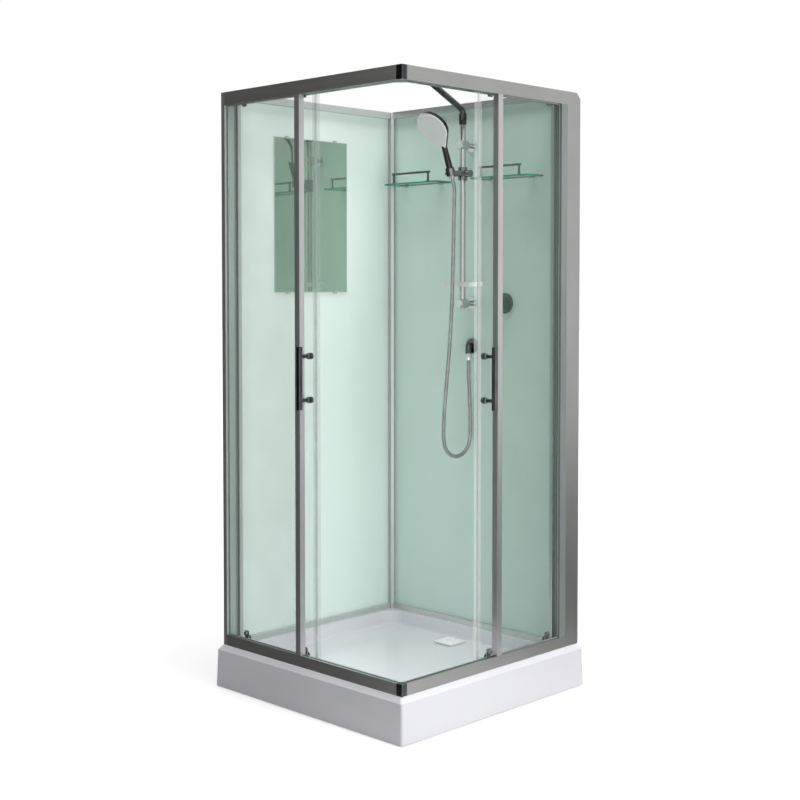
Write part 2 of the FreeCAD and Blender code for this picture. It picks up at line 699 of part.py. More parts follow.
def left_post():
    post = front_box(LEFT_END, FRONT.start, 0, RAIL_DEPTH, RIM_Z, TOP_Z)
    hollow = front_box(LEFT_END + RAIL_WALL, FRONT.start - GLAZING_POCKET - RAIL_WALL, RAIL_WALL,
                       RAIL_DEPTH - RAIL_WALL, RIM_Z - OVERRUN, TOP_Z + OVERRUN)
    slot = glass_slot(FRONT.start - GLAZING_POCKET, FRONT.start + OVERRUN, RIM_Z - OVERRUN, TOP_Z + OVERRUN)
    chamber = front_box(FRONT.start - GLAZING_POCKET, FRONT.start - RAIL_WALL, GLAZING_DEPTH,
                        RAIL_DEPTH - RAIL_WALL, RIM_Z - OVERRUN, TOP_Z + OVERRUN)
    return post.cut([hollow, slot, chamber])


def right_post():
    end = -BACK_END
    post = front_box(end, SIDE.start, 0, RAIL_DEPTH, RIM_Z, TOP_Z)
    hollow = front_box(end + RAIL_WALL, SIDE.start - RAIL_WALL, RAIL_WALL, RAIL_DEPTH - RAIL_WALL,
                       RIM_Z - OVERRUN, TOP_Z - RIGHT_POST_CHAMFER - RAIL_WALL)
    y = -FACE - OVERRUN
    points = [V(end, y, TOP_Z), V(end + RIGHT_POST_CHAMFER, y, TOP_Z), V(end, y, TOP_Z - RIGHT_POST_CHAMFER)]
    corner = prism(points, V(0, RAIL_DEPTH + 2 * OVERRUN, 0))
    return place(SIDE, post.cut([hollow, corner]))


def right_inner_profile():
    t1 = SIDE.glass_start
    bar = front_box(SIDE.start, t1, 0, INNER_PROFILE_DEPTH, BOTTOM_RAIL_TOP, TOP_RAIL_BOTTOM)
    hollow = front_box(SIDE.start + RAIL_WALL, t1 - GLAZING_POCKET - RAIL_WALL, RAIL_WALL,
                       INNER_PROFILE_DEPTH - RAIL_WALL, BOTTOM_RAIL_TOP - OVERRUN, TOP_RAIL_BOTTOM + OVERRUN)
    slot = glass_slot(t1 - GLAZING_POCKET, t1 + OVERRUN, BOTTOM_RAIL_TOP - OVERRUN, TOP_RAIL_BOTTOM + OVERRUN)
    return place(SIDE, bar.cut([hollow, slot]))


def mitre_tool():
    """What lies past the plane where the two sides' rails meet."""
    near = FACE - RAIL_DEPTH - OVERRUN
    far = FACE + OVERRUN
    low = RIM_Z - OVERRUN
    points = [V(near, -near, low), V(far, -far, low), V(far, -near, low)]
    return prism(points, V(0, 0, FRAME_HEIGHT + 2 * OVERRUN))


def rib_span():
    middle = ROLLER_DEPTH + ROLLER_WIDTH / 2
    return middle - TRACK_RIB / 2, middle + TRACK_RIB / 2


def top_rail(side):
    t0 = side.start
    t1 = FACE - CONNECTOR_SIDE
    z0 = TOP_RAIL_BOTTOM
    web = TOP_Z - RAIL_WALL
    pocket = z0 + GLAZING_POCKET
    flange = z0 + TRACK_FLANGE_RISE
    rib0, rib1 = rib_span()
    bar = front_box(t0, t1, 0, GLAZING_DEPTH, z0, TOP_Z)
    chamber = front_box(t0 - OVERRUN, t1 + OVERRUN, RAIL_WALL, GLAZING_DEPTH - RAIL_WALL,
                        pocket + GLAZING_BRIDGE, web)
    slot = glass_slot(t0 - OVERRUN, t1 + OVERRUN, z0 - OVERRUN, pocket)
    roof = front_box(t0, t1, 0, RAIL_DEPTH, web, TOP_Z)
    inner = front_box(t0, t1, RAIL_DEPTH - RAIL_WALL, RAIL_DEPTH, flange - RAIL_WALL, TOP_Z)
    ledge = front_box(t0, t1, RAIL_DEPTH - TRACK_FLANGE_WIDTH, RAIL_DEPTH, flange - RAIL_WALL, flange)
    rib = front_box(t0, t1, rib0, rib1, flange - RAIL_WALL, TOP_AXLE_Z - GROOVE_RADIUS - SEAT)
    rail = bar.cut([chamber, slot]).fuse([roof, inner, ledge, rib]).cut(mitre_tool())
    return place(side, rail.removeSplitter())


def bottom_rail(side):
    t0 = side.start
    t1 = FACE - CONNECTOR_SIDE
    z1 = BOTTOM_RAIL_TOP
    pocket = z1 - GLAZING_POCKET
    rib0, rib1 = rib_span()
    bar = front_box(t0, t1, 0, GLAZING_DEPTH, RIM_Z, z1)
    chamber = front_box(t0 - OVERRUN, t1 + OVERRUN, RAIL_WALL, GLAZING_DEPTH - RAIL_WALL,
                        RIM_Z + RAIL_WALL, pocket - GLAZING_BRIDGE)
    slot = glass_slot(t0 - OVERRUN, t1 + OVERRUN, pocket, z1 + OVERRUN)
    sill = front_box(t0, t1, 0, RAIL_DEPTH, RIM_Z, RIM_Z + RAIL_WALL)
    lip = front_box(t0, t1, RAIL_DEPTH - RAIL_WALL, RAIL_DEPTH, RIM_Z, RIM_Z + TRACK_LIP_HEIGHT)
    rib = front_box(t0, t1, rib0, rib1, RIM_Z, BOTTOM_AXLE_Z - GROOVE_RADIUS - SEAT)
    rail = bar.cut([chamber, slot]).fuse([sill, lip, rib]).cut(mitre_tool())
    return place(side, rail.removeSplitter())


def corner_connector(z0, z1, tongue_z0, tongue_z1):
    """A grooved block at the front corner, with a tongue in the chamber of each rail."""
    t0 = FACE - CONNECTOR_SIDE
    block = front_box(t0, FACE, 0, CONNECTOR_SIDE, z0, z1)
    tongue = front_box(t0 - TONGUE_LENGTH, t0, RAIL_WALL + SEAT, GLAZING_DEPTH - RAIL_WALL - SEAT,
                       tongue_z0 + SEAT, tongue_z1 - SEAT)
    pitch = CONNECTOR_SIDE / (GROOVE_COUNT + 1)
    cuts = []
    for i in range(GROOVE_COUNT):
        middle = t0 + (i + 1) * pitch
        groove = front_box(middle - GROOVE_WIDTH / 2, middle + GROOVE_WIDTH / 2, -OVERRUN, GROOVE_DEPTH,
                           z0 - OVERRUN, z1 + OVERRUN)
        cuts += [groove, place(SIDE, groove)]
    return block.fuse([tongue, place(SIDE, tongue)]).cut(cuts).removeSplitter()


def corner_connectors():
    top = corner_connector(TOP_RAIL_BOTTOM, TOP_Z, TOP_RAIL_BOTTOM + GLAZING_POCKET + GLAZING_BRIDGE,
                           TOP_Z - RAIL_WALL)
    bottom = corner_connector(RIM_Z, BOTTOM_RAIL_TOP, RIM_Z + RAIL_WALL,
                              BOTTOM_RAIL_TOP - GLAZING_POCKET - GLAZING_BRIDGE)
    return [top, bottom]


def fixed_glass(side):
    t0 = side.glass_start - GLAZING_POCKET + SEAT
    t1 = side.edge - EDGE_PROFILE_WIDTH + GLAZING_POCKET - SEAT
    z0 = BOTTOM_RAIL_TOP - GLAZING_POCKET + SEAT
    z1 = TOP_RAIL_BOTTOM + GLAZING_POCKET - SEAT
    return place(side, front_box(t0, t1, FIXED_GLASS_DEPTH, FIXED_GLASS_DEPTH + FIXED_GLASS, z0, z1))


def edge_profile(side):
    t0 = side.edge - EDGE_PROFILE_WIDTH
    bar = front_box(t0, side.edge, EDGE_PROFILE_SETBACK, GLAZING_DEPTH, BOTTOM_RAIL_TOP, TOP_RAIL_BOTTOM)
    slot = glass_slot(t0 - OVERRUN, t0 + GLAZING_POCKET, BOTTOM_RAIL_TOP - OVERRUN, TOP_RAIL_BOTTOM + OVERRUN)
    return place(side, bar.cut(slot))


# Doors
def roller_places(side):
    """Each roller's name, its place along the side, its axle's height and its hanger bolt's height."""
    along = (("lead", lead_edge(side) - ROLLER_FROM_LEAD), ("trail", trail_edge(side) + ROLLER_FROM_TRAIL))
    places = []
    for end, t in along:
        places.append((f"top_{end}", t, TOP_AXLE_Z, TOP_AXLE_Z - TOP_BOLT_DROP))
        places.append((f"bottom_{end}", t, BOTTOM_AXLE_Z, BOTTOM_AXLE_Z + BOTTOM_BOLT_RISE))
    return places


def handle_places(side):
    t = lead_edge(side) - HANDLE_SETBACK
    return [(t, HANDLE_HEIGHT - HANDLE_HOLE_SPACING / 2), (t, HANDLE_HEIGHT + HANDLE_HOLE_SPACING / 2)]


def door_glass(side):
    pane = front_box(trail_edge(side), lead_edge(side), DOOR_DEPTH, DOOR_BACK, DOOR_Z0, DOOR_Z1)
    holes = [front_pin(HANGER_BOLT_RADIUS + SEAT, t, bolt_z, DOOR_DEPTH - OVERRUN, DOOR_BACK + OVERRUN)
             for _, t, _, bolt_z in roller_places(side)]
    holes += [front_pin(HANDLE_STUD_RADIUS + SEAT, t, z, DOOR_DEPTH - OVERRUN, DOOR_BACK + OVERRUN)
              for t, z in handle_places(side)]
    return place(side, pane.cut(holes))


def door_seals(side):
    """The magnetic seal, mitred to meet the other door's, and the fin on the trailing edge."""
    lead = lead_edge(side)
    trail = trail_edge(side)
    s0 = DOOR_DEPTH - SEAL_WALL
    s1 = DOOR_BACK + SEAL_WALL
    nose = FACE - NOSE_GAP - side.shift
    corners = [(lead - SEAL_GRIP, s0), (nose - s0, s0), (nose - s1, s1), (lead - SEAL_GRIP, s1)]
    magnet = prism([V(t, s - FACE, DOOR_Z0) for t, s in corners], V(0, 0, DOOR_Z1 - DOOR_Z0))
    fin = front_box(trail - SEAL_FIN, trail + SEAL_GRIP, DOOR_DEPTH - SEAL_FIN_WALL,
                    DOOR_BACK + SEAL_FIN_WALL, DOOR_Z0, DOOR_Z1)
    pane = front_box(trail, lead, DOOR_DEPTH, DOOR_BACK, DOOR_Z0 - OVERRUN, DOOR_Z1 + OVERRUN)
    return [place(side, magnet.cut(pane)), place(side, fin.cut(pane))]


def door_handle(side):
    """The bar outside, its two stand-offs with their studs, and the knobs inside."""
    (t, low), (_, high) = handle_places(side)
    s1 = -HANDLE_PROUD
    half = HANDLE_BAR / 2
    bar = front_box(t - half, t + half, s1 - HANDLE_BAR, s1, HANDLE_HEIGHT - HANDLE_LENGTH / 2,
                    HANDLE_HEIGHT + HANDLE_LENGTH / 2)
    solids = [bar.makeFillet(HANDLE_ROUND, bar.Edges)]
    for z in (low, high):
        standoff = front_pin(STANDOFF_RADIUS, t, z, s1, DOOR_DEPTH)
        stud = front_pin(HANDLE_STUD_RADIUS, t, z, s1, DOOR_BACK)
        knob = front_pin(KNOB_RADIUS, t, z, DOOR_BACK, DOOR_BACK + KNOB_LENGTH)
        solids += [standoff.fuse(stud).removeSplitter(), knob.makeFillet(HANDLE_ROUND, knob.Edges[:1])]
    return [place(side, solid) for solid in solids]


def roller_hanger(side, t, axle_z, bolt_z):
    """A plate bolted through the glass, with the axle that its roller turns on."""
    z0 = min(axle_z, bolt_z) - HANGER_MARGIN
    z1 = max(axle_z, bolt_z) + HANGER_MARGIN
    s1 = DOOR_BACK + HANGER_PLATE
    far = ROLLER_DEPTH + ROLLER_WIDTH + SEAT
    plate = front_box(t - HANGER_WIDTH / 2, t + HANGER_WIDTH / 2, DOOR_BACK, s1, z0, z1)
    spacer = front_pin(AXLE_HEAD_RADIUS, t, axle_z, DOOR_BACK, ROLLER_DEPTH - SEAT)
    axle = front_pin(AXLE_RADIUS, t, axle_z, DOOR_BACK, far + AXLE_HEAD)
    head = front_pin(AXLE_HEAD_RADIUS, t, axle_z, far, far + AXLE_HEAD)
    bolt = front_pin(HANGER_BOLT_RADIUS, t, bolt_z, DOOR_DEPTH - HANGER_CAP, DOOR_BACK)
    cap = front_pin(HANGER_CAP_RADIUS, t, bolt_z, DOOR_DEPTH - HANGER_CAP, DOOR_DEPTH)
    return place(side, plate.fuse([spacer, axle, head, bolt, cap]).removeSplitter())


def roller_hangers(side):
    return [roller_hanger(side, t, axle_z, bolt_z) for _, t, axle_z, bolt_z in roller_places(side)]


def roller(side, t, axle_z):
    """A grooved wheel that runs on the track's rib."""
    s0 = ROLLER_DEPTH
    s1 = s0 + ROLLER_WIDTH
    middle = (s0 + s1) / 2
    groove0 = middle - TRACK_GROOVE / 2
    groove1 = middle + TRACK_GROOVE / 2
    bore = AXLE_RADIUS + RUNNING
    rim = (ROLLER_RADIUS + GROOVE_RADIUS) / 2
    outline = [(s0, bore), (s0, rim), (s0 + ROLLER_CHAMFER, ROLLER_RADIUS), (groove0, ROLLER_RADIUS),
               (groove0, GROOVE_RADIUS), (groove1, GROOVE_RADIUS), (groove1, ROLLER_RADIUS),
               (s1 - ROLLER_CHAMFER, ROLLER_RADIUS), (s1, rim), (s1, bore)]
    points = [V(t, s - FACE, axle_z + r) for s, r in outline]
    return place(side, spin(points, V(t, 0, axle_z), Y_AXIS))


# Mirror and shelves
def mirror():
    y = MIRROR_WIDTH / 2
    z = MIRROR_HEIGHT / 2
    return box(LEFT_FACE, LEFT_FACE + MIRROR_GLASS, MIRROR_CENTRE_Y - y, MIRROR_CENTRE_Y + y,
               MIRROR_CENTRE_Z - z, MIRROR_CENTRE_Z + z)


def mirror_clips(glass):
    clips = []
    for y_sign in (-1, 1):
        y = MIRROR_CENTRE_Y + y_sign * (MIRROR_WIDTH / 2 - MIRROR_CLIP_INSET)
        for z_sign in (-1, 1):
            edge = MIRROR_CENTRE_Z + z_sign * MIRROR_HEIGHT / 2
            ends = sorted((edge - z_sign * MIRROR_CLIP_LIP, edge + z_sign * MIRROR_CLIP_LIP))
            block = box(LEFT_FACE, LEFT_FACE + MIRROR_GLASS + MIRROR_CLIP_WALL, y - MIRROR_CLIP / 2,
                        y + MIRROR_CLIP / 2, ends[0], ends[1])
            clips.append(block.cut(glass))
    return clips


def shelf(ends):
    x0, x1 = ends
    y0 = BACK_FACE - SHELF_WIDTH
    z0 = SHELF_HEIGHT - SHELF_GLASS / 2
    z1 = SHELF_HEIGHT + SHELF_GLASS / 2
    front = rounded_block(x0, x1, y0, BACK_FACE, SHELF_CORNER, z0, z1)
    return front.fuse(box(x0, x1, y0 + SHELF_WIDTH / 2, BACK_FACE, z0, z1)).removeSplitter()


def shelf_clips(ends, glass):
    half = SHELF_GLASS / 2 + SHELF_CLIP_WALL
    clips = []
    for x in (ends[0] + SHELF_CLIP_INSET, ends[1] - SHELF_CLIP_INSET):
        block = box(x - SHELF_CLIP_WIDTH / 2, x + SHELF_CLIP_WIDTH / 2, BACK_FACE - SHELF_CLIP_DEPTH,
                    BACK_FACE, SHELF_HEIGHT - half, SHELF_HEIGHT + half)
        clips.append(block.cut(glass))
    return clips


def glass_clips():
    clips = mirror_clips(mirror())
    for ends in (LEFT_SHELF_ENDS, RIGHT_SHELF_ENDS):
        clips += shelf_clips(ends, shelf(ends))
    return clips


def gallery(ends):
    """A rail along a shelf's front, on two posts with round feet."""
    y = BACK_FACE - SHELF_WIDTH + GALLERY_INSET
    z = SHELF_HEIGHT + GALLERY_RISE
    foot_z = SHELF_HEIGHT + SHELF_GLASS / 2
    x0 = ends[0] + GALLERY_END_GAP
    x1 = ends[1] - GALLERY_END_GAP
    rail = pin(GALLERY_RADIUS, V(x0, y, z), V(x1, y, z))
    stands = []
    for x in (x0 + GALLERY_OVERHANG, x1 - GALLERY_OVERHANG):
        stands.append(pin(GALLERY_RADIUS, V(x, y, foot_z), V(x, y, z)))
        stands.append(pin(GALLERY_FOOT_RADIUS, V(x, y, foot_z), V(x, y, foot_z + GALLERY_FOOT)))
    return rail.fuse(stands).removeSplitter()


# Riser and what it carries
def riser_axis(z):
    return V(SHOWER_X, RISER_Y, z)


def riser_pin(radius, z0, z1):
    return pin(radius, riser_axis(z0), riser_axis(z1))


def riser_pipe():
    outer = riser_pin(RISER_RADIUS, RISER_BOTTOM, RISER_TOP)
    bore = riser_pin(RISER_RADIUS - RISER_WALL, RISER_BOTTOM + RISER_WALL, RISER_TOP + OVERRUN)
    return outer.cut(bore)


def riser_bracket(z, back_y):
    """A round hub that the riser passes through, on a shank from the wall with a round flange."""
    reach = V(0, BRACKET_HUB_REACH, 0)
    hub = pin(BRACKET_HUB_RADIUS, riser_axis(z) - reach, riser_axis(z) + reach)
    hub = hub.makeFillet(BRACKET_HUB_ROUND, [e for e in hub.Edges if e.BoundBox.YMax < RISER_Y])
    shank = pin(BRACKET_SHANK_RADIUS, riser_axis(z), V(SHOWER_X, back_y, z))
    flange = pin(BRACKET_FLANGE_RADIUS, V(SHOWER_X, BACK_FACE - BRACKET_FLANGE, z), V(SHOWER_X, BACK_FACE, z))
    half = BRACKET_HUB_RADIUS + OVERRUN
    bore = riser_pin(RISER_RADIUS, z - half, z + half)
    return hub.fuse([shank, flange]).cut(bore).removeSplitter()


def riser_brackets():
    return [riser_bracket(UPPER_BRACKET_HEIGHT, BACK_FACE),
            riser_bracket(LOWER_BRACKET_HEIGHT, BACK_GLASS_Y + WALL_INLET_REACH)]


def soap_dish():
    x0 = SHOWER_X - DISH_WIDTH / 2
    x1 = SHOWER_X + DISH_WIDTH / 2
    y0 = RISER_Y - DISH_FRONT
    y1 = RISER_Y + DISH_BACK
    z1 = DISH_HEIGHT + DISH_RISE
    outer = rounded_block(x0, x1, y0, y1, DISH_CORNER, DISH_HEIGHT, z1)
    hollow = rounded_block(x0 + DISH_WALL, x1 - DISH_WALL, y0 + DISH_WALL, y1 - DISH_WALL,
                           DISH_CORNER - DISH_WALL, DISH_HEIGHT + DISH_WALL, z1 + OVERRUN)
    collar = riser_pin(DISH_COLLAR_RADIUS, DISH_HEIGHT, z1)
    bore = riser_pin(RISER_RADIUS + RUNNING, DISH_HEIGHT - OVERRUN, z1 + OVERRUN)
    return outer.cut(hollow).fuse(collar).cut(bore).removeSplitter()


def arm_route():
    """The overhead arm's corners, from inside its union to the tip that holds the rain head."""
    rise = ARM_TOP_AXIS - RISER_TOP - ARM_FOOT_RISE
    crest = rise / math.tan(math.radians(ARM_RISE_ANGLE))
    tip_y = RISER_Y - ARM_REACH
    return [riser_axis(RISER_TOP + SEAT), riser_axis(RISER_TOP + ARM_FOOT_RISE),
            V(SHOWER_X, RISER_Y - crest, ARM_TOP_AXIS), V(SHOWER_X, tip_y, ARM_TOP_AXIS),
            V(SHOWER_X, tip_y, ARM_TOP_AXIS - ARM_NOSE_DROP)]


def overhead_arm():
    route = arm_route()
    path, _ = bent_path(route, bend_reaches(route, (ARM_FOOT_BEND, ARM_CREST_BEND, ARM_NOSE_BEND)))
    union_z = RISER_TOP - ARM_UNION_HEIGHT
    union = riser_pin(ARM_UNION_RADIUS, union_z, RISER_TOP + ARM_UNION_WALL)
    bore = riser_pin(RISER_RADIUS + RUNNING, union_z - OVERRUN, RISER_TOP + SEAT)
    tip = route[-1]
    socket = pin(HEAD_BALL_RADIUS + RUNNING, tip - V(0, 0, OVERRUN), tip + V(0, 0, ARM_SOCKET_DEPTH))
    arm = pipe(path, ARM_RADIUS).fuse(union).cut([bore, socket])
    return arm.fuse(ball_pin(HEAD_PIN_RADIUS)).removeSplitter()


def ball_pin(radius):
    """The cross pin in the arm's nose that the rain head's ball turns on."""
    centre = arm_route()[-1] + V(0, 0, HEAD_BALL_RISE)
    reach = V(HEAD_BALL_RADIUS + ARM_RADIUS, 0, 0) / 2
    return pin(radius, centre - reach, centre + reach)


def rain_head():
    ball_centre = arm_route()[-1] + V(0, 0, HEAD_BALL_RISE)
    top = ball_centre - V(0, 0, HEAD_STEM_DROP)
    outline = [(0, 0), (HEAD_HUB_RADIUS, 0), (RAIN_RADIUS, RAIN_EDGE - RAIN_THICKNESS),
               (RAIN_RADIUS, -RAIN_THICKNESS), (0, -RAIN_THICKNESS)]
    disc = spin([top + V(x, 0, z) for x, z in outline], top, Z_AXIS)
    stem = pin(HEAD_STEM_RADIUS, top, ball_centre)
    ball = Part.makeSphere(HEAD_BALL_RADIUS, ball_centre)
    return disc.fuse([stem, ball]).cut(ball_pin(HEAD_PIN_RADIUS + RUNNING)).removeSplitter()


# Handset, its holder and the slider; the first two are made upright at zero and then leaned
def lean(shape):
    turned = shape.copy()
    turned.rotate(V(0, 0, 0), X_AXIS, HANDSET_LEAN)
    turned.translate(HANDSET_END)
    return turned


def leaned_point(z):
    angle = math.radians(HANDSET_LEAN)
    return HANDSET_END + V(0, -math.sin(angle), math.cos(angle)) * z


def trunnion_centre():
    return leaned_point(TRUNNION_RISE)


def slider():
    """A sleeve on the riser with a clamp knob and a fork that carries the holder's trunnions."""
    axle = trunnion_centre()
    fork_x = FORK_GAP_RADIUS + FORK_ARM
    half = FORK_HEIGHT / 2
    yoke_y = RISER_Y - SLIDER_RADIUS
    z0 = HOLDER_HEIGHT - SLIDER_DROP
    z1 = HOLDER_HEIGHT + SLIDER_RISE
    sleeve = riser_pin(SLIDER_RADIUS, z0, z1)
    middle = riser_axis((z0 + z1) / 2)
    knob = pin(SLIDER_KNOB_RADIUS, middle, middle + X_AXIS * SLIDER_KNOB_REACH)
    yoke = box(SHOWER_X - fork_x, SHOWER_X + fork_x, yoke_y - FORK_ARM, RISER_Y, axle.z - half, axle.z + half)
    arms = []
    for x0 in (SHOWER_X - fork_x, SHOWER_X + FORK_GAP_RADIUS):
        arms.append(box(x0, x0 + FORK_ARM, axle.y, RISER_Y, axle.z - half, axle.z + half))
        arms.append(pin(half, V(x0, axle.y, axle.z), V(x0 + FORK_ARM, axle.y, axle.z)))
    reach = V(fork_x + OVERRUN, 0, 0)
    holes = [riser_pin(RISER_RADIUS + RUNNING, z0 - OVERRUN, z1 + OVERRUN),
             pin(TRUNNION_RADIUS + RUNNING, axle - reach, axle + reach)]
    return sleeve.fuse([yoke, knob] + arms).cut(holes).removeSplitter()


def handset_holder():
    """A sleeve open at the front, so that the hose can pass, with a trunnion on each side."""
    z0 = TRUNNION_RISE - SOCKET_DROP
    z1 = z0 + SOCKET_LENGTH
    fork_x = FORK_GAP_RADIUS + FORK_ARM
    sleeve = pin(SOCKET_RADIUS, V(0, 0, z0), V(0, 0, z1))
    trunnions = pin(TRUNNION_RADIUS, V(-fork_x, 0, TRUNNION_RISE), V(fork_x, 0, TRUNNION_RISE))
    bore = pin(HANDLE_RADIUS, V(0, 0, z0 - OVERRUN), V(0, 0, z1 + OVERRUN))
    mouth = box(-SOCKET_MOUTH / 2, SOCKET_MOUTH / 2, -SOCKET_RADIUS - OVERRUN, 0, z0 - OVERRUN, z1 + OVERRUN)
    return lean(sleeve.fuse(trunnions).cut([bore, mouth]).removeSplitter())


def drop_plate(margin, y0, y1):
    """The head's outline, drawn in by a margin: a large arc that runs into a small one at the neck."""
    large = HANDSET_HEAD_RADIUS - margin
    small = HANDSET_TAIL_RADIUS - margin
    slope = math.asin((large - small) / HANDSET_HEAD_REACH)
    outward = V(math.cos(slope), 0, -math.sin(slope))
    centre = V(0, y0, HANDSET_HEAD_REACH)
    tail = V(0, y0, 0)
    right = (tail + outward * small, centre + outward * large)
    left = [V(-p.x, p.y, p.z) for p in right]
    edges = [Part.makeLine(right[0], right[1]),
             Part.Arc(right[1], centre + Z_AXIS * large, left[1]).toShape(),
             Part.makeLine(left[1], left[0]),
             Part.Arc(left[0], tail + DOWN * small, right[0]).toShape()]
    return Part.Face(Part.Wire(edges)).extrude(V(0, y1 - y0, 0))


def on_neck(plate):
    """The head leans further forward than the handle that carries it."""
    turned = plate.copy()
    turned.rotate(V(0, 0, 0), X_AXIS, HANDSET_BEND)
    turned.translate(V(0, 0, NECK_DISTANCE))
    return turned


def handset_body():
    half = HANDSET_HEAD_THICKNESS / 2
    shoulder = V(0, 0, HANDLE_STRAIGHT)
    neck = V(0, 0, NECK_DISTANCE)
    grip = pin(HANDLE_RADIUS, V(0, 0, 0), shoulder)
    taper = cone(HANDLE_RADIUS, HANDLE_NECK_RADIUS, shoulder, neck)
    knee = Part.makeSphere(HANDLE_NECK_RADIUS, neck)
    head = drop_plate(0, -half, half)
    head = head.makeFillet(HANDSET_HEAD_ROUND, [e for e in head.Edges if e.BoundBox.YMin > 0])
    recess = drop_plate(HANDSET_FACE_MARGIN, -half - OVERRUN, HANDSET_FACE_INSET - half)
    return lean(on_neck(head).fuse([grip, taper, knee]).cut(on_neck(recess)).removeSplitter())


def handset_face():
    half = HANDSET_HEAD_THICKNESS / 2
    plate = drop_plate(HANDSET_FACE_MARGIN, -half - HANDSET_FACE_PROUD, HANDSET_FACE_INSET - half)
    front_rim = [e for e in plate.Edges if e.BoundBox.YMax < -half]
    return lean(on_neck(plate.makeFillet(HANDSET_FACE_PROUD / 2, front_rim)))


def handset_hose_nut():
    return lean(cone(HOSE_NUT_RADIUS, HOSE_NUT_END_RADIUS, V(0, 0, 0), V(0, 0, -HOSE_NUT_LENGTH)))


# Hose and its outlet
def elbow_tip():
    return V(SHOWER_X, ELBOW_Y, ELBOW_HEIGHT - ELBOW_DROP)


def hose_points():
    start = leaned_point(-HOSE_NUT_LENGTH)
    first = leaned_point(-HOSE_NUT_LENGTH - HOSE_LEAD)
    end = elbow_tip() + DOWN * OUTLET_NUT_LENGTH
    last = end + DOWN * HOSE_TAIL
    middle = [V(SHOWER_X, BACK_FACE - off_wall, end.z + rise) for off_wall, rise in HOSE_ROUTE]
    return [start, first] + middle + [last, end]


def shower_hose():
    points = hose_points()
    runs = [(b - a).Length for a, b in zip(points, points[1:])]
    reaches = [HOSE_REACH_SHARE * min(pair) for pair in zip(runs, runs[1:])]
    path, radii = bent_path(points, reaches)
    tube = pipe(path, HOSE_RADIUS)
    print("hose radii", [round(r) for r in radii], "runs", [round(r) for r in runs])
    print("hose length", round(path.Length, 1), "volume over section times length",
          round(tube.Volume / (math.pi * HOSE_RADIUS ** 2 * path.Length), 5))
    return tube


def outlet_hose_nut():
    tip = elbow_tip()
    return cone(HOSE_NUT_RADIUS, HOSE_NUT_END_RADIUS, tip, tip + DOWN * OUTLET_NUT_LENGTH)


def wall_elbow():
    corner = V(SHOWER_X, ELBOW_Y, ELBOW_HEIGHT)
    flange = pin(ELBOW_FLANGE_RADIUS, V(SHOWER_X, BACK_FACE - ELBOW_FLANGE, ELBOW_HEIGHT),
                 V(SHOWER_X, BACK_FACE, ELBOW_HEIGHT))
    shank = pin(BRACKET_SHANK_RADIUS, corner, V(SHOWER_X, BACK_GLASS_Y + WALL_INLET_REACH, ELBOW_HEIGHT))
    neck = pin(ELBOW_RADIUS, corner, V(SHOWER_X, BACK_FACE, ELBOW_HEIGHT))
    knee = Part.makeSphere(ELBOW_RADIUS, corner)
    drop = pin(ELBOW_RADIUS, corner, elbow_tip())
    return drop.fuse([knee, neck, shank, flange]).removeSplitter()


# Mixer and the pipes behind the wall
def mixer_axis(y):
    return V(MIXER_X, y, MIXER_HEIGHT)


def mixer_pin(radius, y0, y1):
    return pin(radius, mixer_axis(y0), mixer_axis(y1))


def spindle_end():
    return BACK_FACE - PLATE_THICKNESS - SPINDLE_PROUD


def mixer_plate():
    y0 = BACK_FACE - PLATE_THICKNESS
    disc = mixer_pin(PLATE_RADIUS, y0, BACK_FACE)
    rim = [e for e in disc.Edges if e.BoundBox.YMax < y0 + PLATE_THICKNESS / 2]
    hole = mixer_pin(SPINDLE_RADIUS + SEAT, y0 - OVERRUN, BACK_FACE + OVERRUN)
    return disc.makeFillet(PLATE_ROUND, rim).cut(hole)


def mixer_lever():
    y1 = BACK_FACE - PLATE_THICKNESS - SEAT
    y0 = y1 - KNOB_BODY_LENGTH
    knob = mixer_pin(KNOB_BODY_RADIUS, y0, y1)
    knob = knob.makeFillet(PLATE_ROUND, [e for e in knob.Edges if e.BoundBox.YMax < y1 - SEAT])
    lever_y = y0 + LEVER_SETBACK
    arm = box(MIXER_X - LEVER_WIDTH / 2, MIXER_X + LEVER_WIDTH / 2, lever_y, lever_y + LEVER_THICKNESS,
              MIXER_HEIGHT - LEVER_LENGTH, MIXER_HEIGHT)
    arm = arm.makeFillet(LEVER_ROUND, arm.Edges)
    bore = mixer_pin(SPINDLE_RADIUS + RUNNING, spindle_end() - SEAT, y1 + OVERRUN)
    return knob.fuse(arm).cut(bore).removeSplitter()


def mixer_valve():
    """The valve behind the glass, its spindle and the hot and cold inlets."""
    y1 = BACK_GLASS_Y + VALVE_DEPTH
    half = VALVE_WIDTH / 2
    body = box(MIXER_X - half, MIXER_X + half, BACK_GLASS_Y, y1, MIXER_HEIGHT - VALVE_HEIGHT / 2,
               MIXER_HEIGHT + VALVE_HEIGHT / 2)
    spindle = mixer_pin(SPINDLE_RADIUS, spindle_end(), y1)
    inlets = []
    for sign in (-1, 1):
        at = mixer_axis(y1) + V(0, 0, sign * INLET_SPACING / 2)
        inlets.append(pin(INLET_RADIUS, at, at + V(0, INLET_LENGTH, 0)))
    return body.fuse([spindle] + inlets).removeSplitter()


def pipe_y():
    return BACK_GLASS_Y + VALVE_DEPTH / 2


